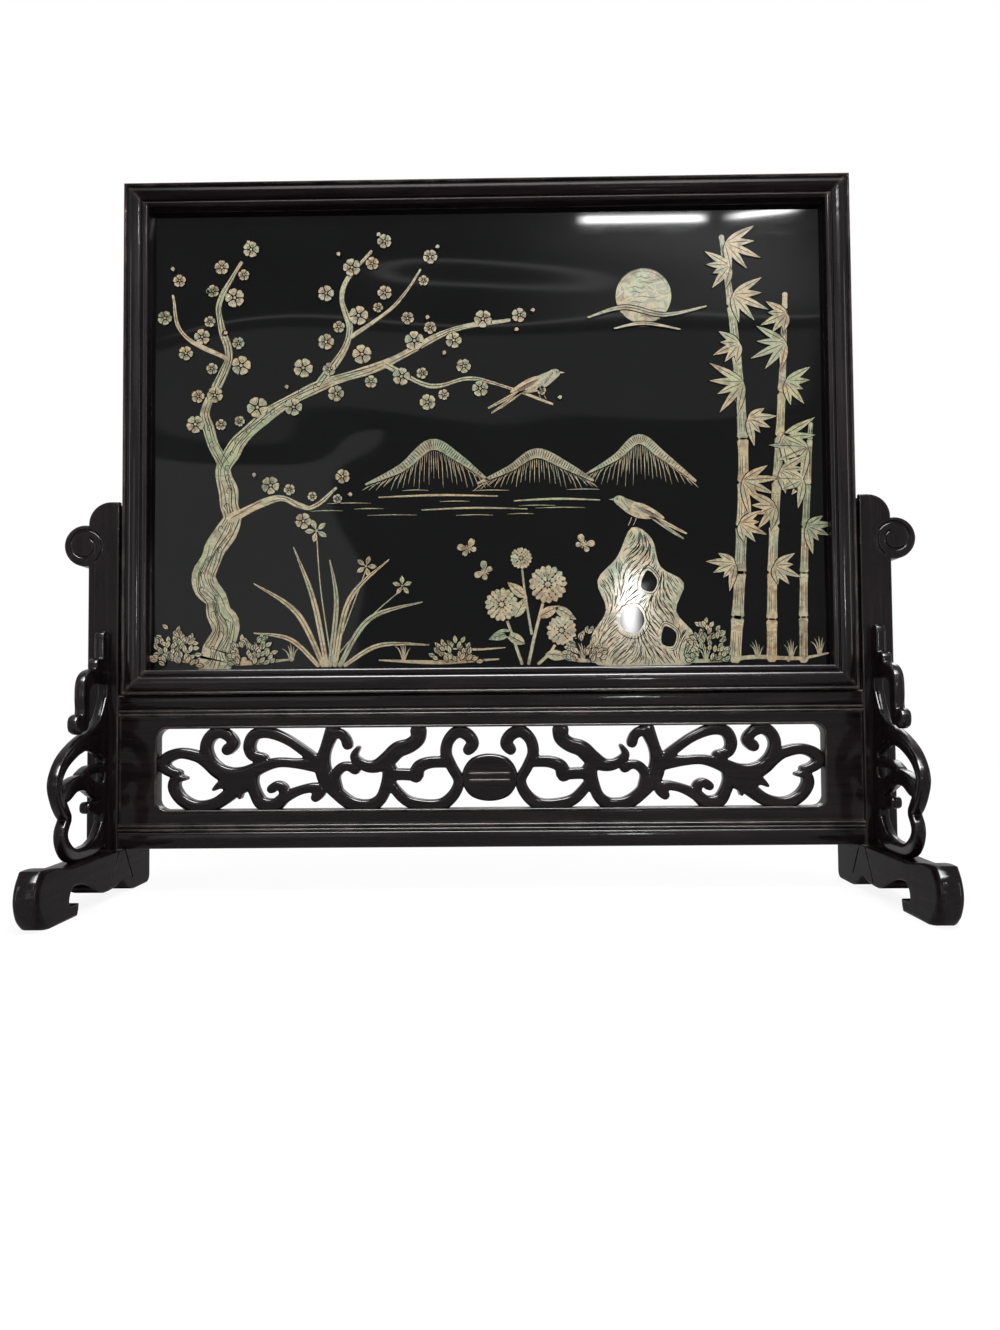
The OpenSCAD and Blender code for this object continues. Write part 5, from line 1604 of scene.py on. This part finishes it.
# Dark outline: growth of the body along and up, and its shift down
BIRD_EDGE_P = 1.06
BIRD_EDGE_Q = 1.07
BIRD_EDGE_DOWN = 0.5
birds = Shape()
bird_front = RAISED_FRONT
tail_front = bird_front - TAIL_LIFT
wing_front = bird_front - WING_LIFT
for at, flip in bird_spots:
    def perched(points):
        return [(at[0] + flip * p, at[1] + q, *width) for p, q, *width in points]

    outline = closed_curve(perched(bird_body), 3)
    bird_edge = [(p * BIRD_EDGE_P, q * BIRD_EDGE_Q - BIRD_EDGE_DOWN) for p, q in bird_body]
    backing(closed_curve(perched(bird_edge), 3))
    plate(birds, outline, bird_front)
    plate(birds, perched(bird_beak), bird_front, rim=0.05)
    for tail in bird_tails:
        ribbon(birds, perched(tail), tail_front)
        engrave(perched([(p, q) for p, q, w in tail]), TAIL_LINE, tail_front)
    plate(birds, closed_curve(perched(bird_wing), 3), wing_front)
    for k in range(QUILLS):
        quill = [(p + dp * k, q + dq * k) for p, q, dp, dq in bird_quill]
        engrave(perched(quill), VEIN_LINE, wing_front)
    for k in range(DOWNS):
        down = [(p + dp * k, q + dq * k) for p, q, dp, dq in bird_down]
        engrave(perched(down), DOWN_LINE, bird_front)
    eye = disc(perched(bird_eye)[0], BIRD_EYE_R, sides=8)
    plate(lines, eye, bird_front - LINE_UP, bird_front + LINE_SINK)
    for shift in (0, LEG_APART):
        leg = perched([(p + shift, q, w) for p, q, w in bird_leg])
        ribbon(birds, leg, THIN_FRONT, steps=3, rim=0.06)
inlay_piece("shell_birds", birds, ["inlay_birds"])

# Ground lines, grass and pebbles along the lower edge
ground_tracks = [
    [(-204, 9, 1), (-186, 6, 2.6), (-150, 4, 3.2), (-118, 6, 1)], [(-66, 5, 1), (-30, 3.4, 2.6), (6, 5, 1)],
    [(46, 5, 0.9), (60, 3.6, 2.2), (132, 3, 2.4), (160, 5, 2.6), (186, 4, 2.2), (204, 7, 1)],
    [(-30, 12, 0.6), (-8, 11, 1.4), (10, 12, 0.6)], [(128, 11, 0.6), (140, 10, 1.4), (146, 11, 0.6)]
]
grass_spots = [
    (-190, 10), (-142, 8), (-52, 8), (-14, 7), (56, 7), (130, 6), (161, 7), (181, 7), (198, 9), (-120, 8)
]
pebbles = [
    (-24, 7, 2.4), (-19, 5.6, 1.6), (140, 6.5, 2.0), (136, 5, 1.3), (54, 4, 1.4), (-148, 6, 1.8),
    (180, 3, 1.2)
]
GRASS_BLADES = 5
GRASS_STEP = 0.3
GRASS_FAN = 2.2
GRASS_TALL = 8
GRASS_SHORTEN = 1.4
GRASS_STRAY = 0.8
GRASS_UNEVEN = 1
ground = Shape()
for track in ground_tracks:
    ribbon(ground, track, THIN_FRONT, steps=8)
for p, q in grass_spots:
    for k in range(GRASS_BLADES):
        root = p + GRASS_STEP * k
        side = k - GRASS_BLADES // 2
        lean = side * GRASS_FAN + dice.uniform(-GRASS_STRAY, GRASS_STRAY)
        tall = GRASS_TALL - abs(side) * GRASS_SHORTEN + dice.uniform(-GRASS_UNEVEN, GRASS_UNEVEN)
        blade = [(root, q - 3, 0.7), (root + lean * 0.4, q + tall * 0.5, 0.7), (p + lean, q + tall, 0.2)]
        ribbon(ground, blade, THIN_FRONT - GRASS_LIFT * k, steps=4, rim=0.08)
for p, q, r in pebbles:
    plate(ground, rosette((p, q), r, lobes=3, depth=0.12, angle=20 * p))
inlay_piece("shell_ground", ground, [])

# Low bushes: small leaves laid over each other from the top down
# Each bush: middle, width, height, number of leaves
bush_spots = [
    (-190, 26, 24, 70), (-143, 24, 17, 56), (58, 20, 19, 48), (131, 22, 22, 60), (-20, 26, 13, 44)
]
BUSH_FOOT = 2.6
BUSH_FAN = 70
BUSH_TOSS = 40
BUSH_LEAF = (4.2, 5.6)
bushes = Shape()
for mid, wide, tall, count in bush_spots:
    spots = []
    for i in range(count):
        a = math.pi * dice.random()
        r = math.sqrt(dice.random())
        spots.append((mid + wide / 2 * r * math.cos(a), BUSH_FOOT + tall * r * math.sin(a)))
    spots.sort(key=lambda spot: -spot[1])
    for i, (p, q) in enumerate(spots):
        level = INLAY_FRONT - LEAF_LIFT * i
        angle = 90 - BUSH_FAN * (p - mid) / wide * 2 + dice.uniform(-BUSH_TOSS, BUSH_TOSS)
        length = dice.uniform(*BUSH_LEAF)
        edge = leaf(start=-0.5, length=length + 1, wide=3.5, peak=0.5, steps=5)
        backing(turned(edge, (p, q), angle), level + LEAF_LIFT / 2)
        chip = leaf(start=0, length=length, wide=2.7, peak=0.5, steps=5)
        plate(bushes, turned(chip, (p, q), angle), level)
        vein = [(0.6, 0), (length * 0.5, 0.1), (length * 0.85, 0)]
        engrave(turned(vein, (p, q), angle), FINE_LINE, level)
inlay_piece("shell_bushes", bushes, [])

# Butterflies over the flowers
butterfly_spots = [((-12, 72), 25), ((58, 74), -30), ((-2, 58), 60)]
# Wings: turn, length and width
butterfly_wings = [(38, 6.4, 4.2), (142, 6.4, 4.2), (-30, 4.6, 3.4), (210, 4.6, 3.4)]
WING_FAN = 14
butterfly_body = [(0, -2.4), (0, 0), (0, 2.4)]
BODY_W = 0.7
butterflies = Shape()
for at, angle in butterfly_spots:
    for turn, length, wide in butterfly_wings:
        plate(butterflies, turned(petal(0.5, length, wide), at, angle + turn))
        for fan in (-WING_FAN, 0, WING_FAN):
            ray = turned([(1.6, 0), (0.55 * length, 0), (0.8 * length, 0)], at, angle + turn + fan)
            engrave(ray, HAIR_LINE)
    body = [(p, q, BODY_W) for p, q in turned(butterfly_body, at, angle)]
    ribbon(butterflies, body, THIN_FRONT, steps=3, rim=0.1)
inlay_piece("shell_butterflies", butterflies, [])

dress(to_object("engraved_lines", lines), "screen", line_lacquer, [], CHIP_ANGLE)
dress(to_object("shell_outlines", halo), "screen", lacquer, [], CHIP_ANGLE)


# Camera at the photograph's viewpoint
PHOTO_H = 1330
FOCAL_PX = 1036
SENSOR = 36
CAMERA_AT = Vector((0.015, -0.5945, 0.1123))
YAW = math.radians(-0.76)
PITCH = math.radians(2.22)
ROLL = math.radians(-0.46)
ahead = Vector((math.sin(YAW) * math.cos(PITCH), math.cos(YAW) * math.cos(PITCH), math.sin(PITCH)))
level_right = Vector((math.cos(YAW), -math.sin(YAW), 0))
level_up = level_right.cross(ahead)
right = level_right * math.cos(ROLL) + level_up * math.sin(ROLL)
up = -level_right * math.sin(ROLL) + level_up * math.cos(ROLL)
camera_data = bpy.data.cameras.new("camera")
camera_data.sensor_width = SENSOR
camera_data.lens = FOCAL_PX / PHOTO_H * SENSOR
camera_data.clip_start = 0.01
camera = bpy.data.objects.new("camera", camera_data)
scene.collection.objects.link(camera)
turn = Matrix((right, up, -ahead)).transposed().to_4x4()
camera.matrix_world = Matrix.Translation(CAMERA_AT) @ turn
scene.camera = camera


# Floor that fades into the white backdrop with distance
FLOOR_HALF = 12
floor_corners = [(sx * FLOOR_HALF, sy * FLOOR_HALF, 0) for sx, sy in ((-1, -1), (1, -1), (1, 1), (-1, 1))]
floor_mesh = bpy.data.meshes.new("floor")
floor_mesh.from_pydata(floor_corners, [], [[0, 1, 2, 3]])
floor = bpy.data.objects.new("floor", floor_mesh)
scene.collection.objects.link(floor)
paint = Paint("floor_paint")
speck = paint.noise(paint.coords(), scale=40, detail=4)
floor_mesh.materials.append(paint.shaded({
    "Base Color": paint.ramp(speck, (0.3, (0.86, 0.86, 0.86)), (0.7, (0.9, 0.9, 0.9))),
    "Roughness": 0.8, "Specular IOR Level": 0.1}))
away = paint.node("VectorMath", {0: paint.geometry("Position")}, operation="LENGTH").outputs["Value"]
veil = paint.maths("MULTIPLY", paint.seen(), paint.spread(away, to=(0.88, 1), over=(0.5, 1.6)))
glow = paint.node("Emission").outputs["Emission"]
mixed = paint.node("MixShader", {0: veil, 1: paint.shader.outputs["BSDF"], 2: glow})
paint.feed(paint.nodes["Material Output"], {"Surface": mixed.outputs["Shader"]})

# World: white to the eye and in reflections, dimmer as light
WHITE = (1, 1, 1, 1)
AMBIENT = 0.2
world = bpy.data.worlds.new("studio")
scene.world = world
world.use_nodes = True
sky = Graph(world.node_tree)
sky.nodes.clear()
through = sky.node("LightPath").outputs["Is Transmission Ray"]
seen_through = sky.maths("ADD", sky.seen(), through, True)
ambient = sky.node("Background", {"Strength": AMBIENT, "Color": WHITE}).outputs["Background"]
backdrop = sky.node("Background", {"Strength": 1, "Color": WHITE}).outputs["Background"]
mixed = sky.node("MixShader", {0: seen_through, 1: ambient, 2: backdrop})
sky.node("OutputWorld", {"Surface": mixed.outputs["Shader"]})


# Lamps
def fade_lamp(data, fade):
    data.use_nodes = True
    graph = Graph(data.node_tree)
    face = graph.split(graph.geometry("Parametric"))
    strength = None
    for axis, share in zip("XY", fade):
        for edge, full in ((0, share), (1, 1 - share)):
            rise = graph.spread(face[axis], to=(0, 1), over=(edge, full), shape="SMOOTHSTEP")
            strength = rise if strength is None else graph.maths("MULTIPLY", strength, rise)
    graph.feed(graph.nodes["Emission"], {"Strength": strength})


def lamp(name, at, aim, size, watts, fade=None, roll=0):
    data = bpy.data.lights.new(name, "AREA")
    data.shape = "RECTANGLE"
    data.size = size[0]
    data.size_y = size[1]
    data.energy = watts
    if fade:
        fade_lamp(data, fade)
    obj = bpy.data.objects.new(name, data)
    obj.location = at
    facing = (Vector(aim) - Vector(at)).to_track_quat("-Z", "Y").to_matrix()
    obj.rotation_euler = (facing @ Matrix.Rotation(roll, 3, "Z")).to_euler()
    scene.collection.objects.link(obj)
    return obj


# A large sheet overhead that only shines in polished edges
sheen_sheet = lamp("sheen_sheet", at=(0, -0.7, 1.6), aim=(0, 0, 0.15), size=(1.6, 0.9), watts=500,
                   fade=(0.3, 0.3))
sheen_sheet.visible_diffuse = False

# Soft lamps aimed at the panel: name, place, size, power
PANEL_AIM = (0, 0.03, 0.27)
softboxes = (
    ("left_softbox", (-1.3, -1.0, 0.5), (0.2, 1.0), 5),
    ("right_softbox", (1.3, -1.0, 0.45), (0.2, 1.0), 7),
    ("front_softbox", (0.1, -0.9, 1.5), (1.4, 0.12), 20),
    ("top_softbox", (0.1, 0.1, 1.8), (1.6, 0.4), 18),
    ("back_softbox", (0.5, 1.7, 1.2), (1.2, 0.8), 24),
)
for name, at, size, watts in softboxes:
    lamp(name, at, PANEL_AIM, size, watts)

# Lamps and pale cards that the panel mirrors, one behind the other so that none hides another:
# name, place across and up, size, power, faded share of each half, turn
MIRRORED_Y = -1.2
MIRRORED_STEP = 0.004
mirrored_lamps = (
    ("long_strip", 0.256, 0.993, (0.25, 0.018), 3.2, (0.12, 0.3), 0),
    ("short_strip", 0.475, 1.003, (0.16, 0.015), 1.5, (0.3, 0.3), math.radians(6)),
    ("strip_glow", 0.36, 0.945, (0.72, 0.24), 1.6, (0.5, 0.5), 0),
    ("window", 0.228, 0.3, (0.08, 0.16), 7.5, (0.5, 0.5), 0),
    ("ceiling_card", 0.3, 0.945, (0.8, 0.22), 0.5, (0.35, 0.15), 0),
    ("cornice_line", 0, 0.862, (1.3, 0.012), 0.22, (0.1, 0.4), 0),
    ("wall_card", -0.03, 0.731, (1.24, 0.2), 0.85, (0.05, 0.1), 0),
    ("low_card", -0.45, 0.36, (0.42, 0.4), 1.0, (0.03, 0.03), 0),
)
for row, (name, x, z, size, watts, fade, roll) in enumerate(mirrored_lamps):
    lamp(name, (x, MIRRORED_Y - row * MIRRORED_STEP, z), (x, 0, z), size, watts, fade, roll)

scene.view_settings.view_transform = "Standard"
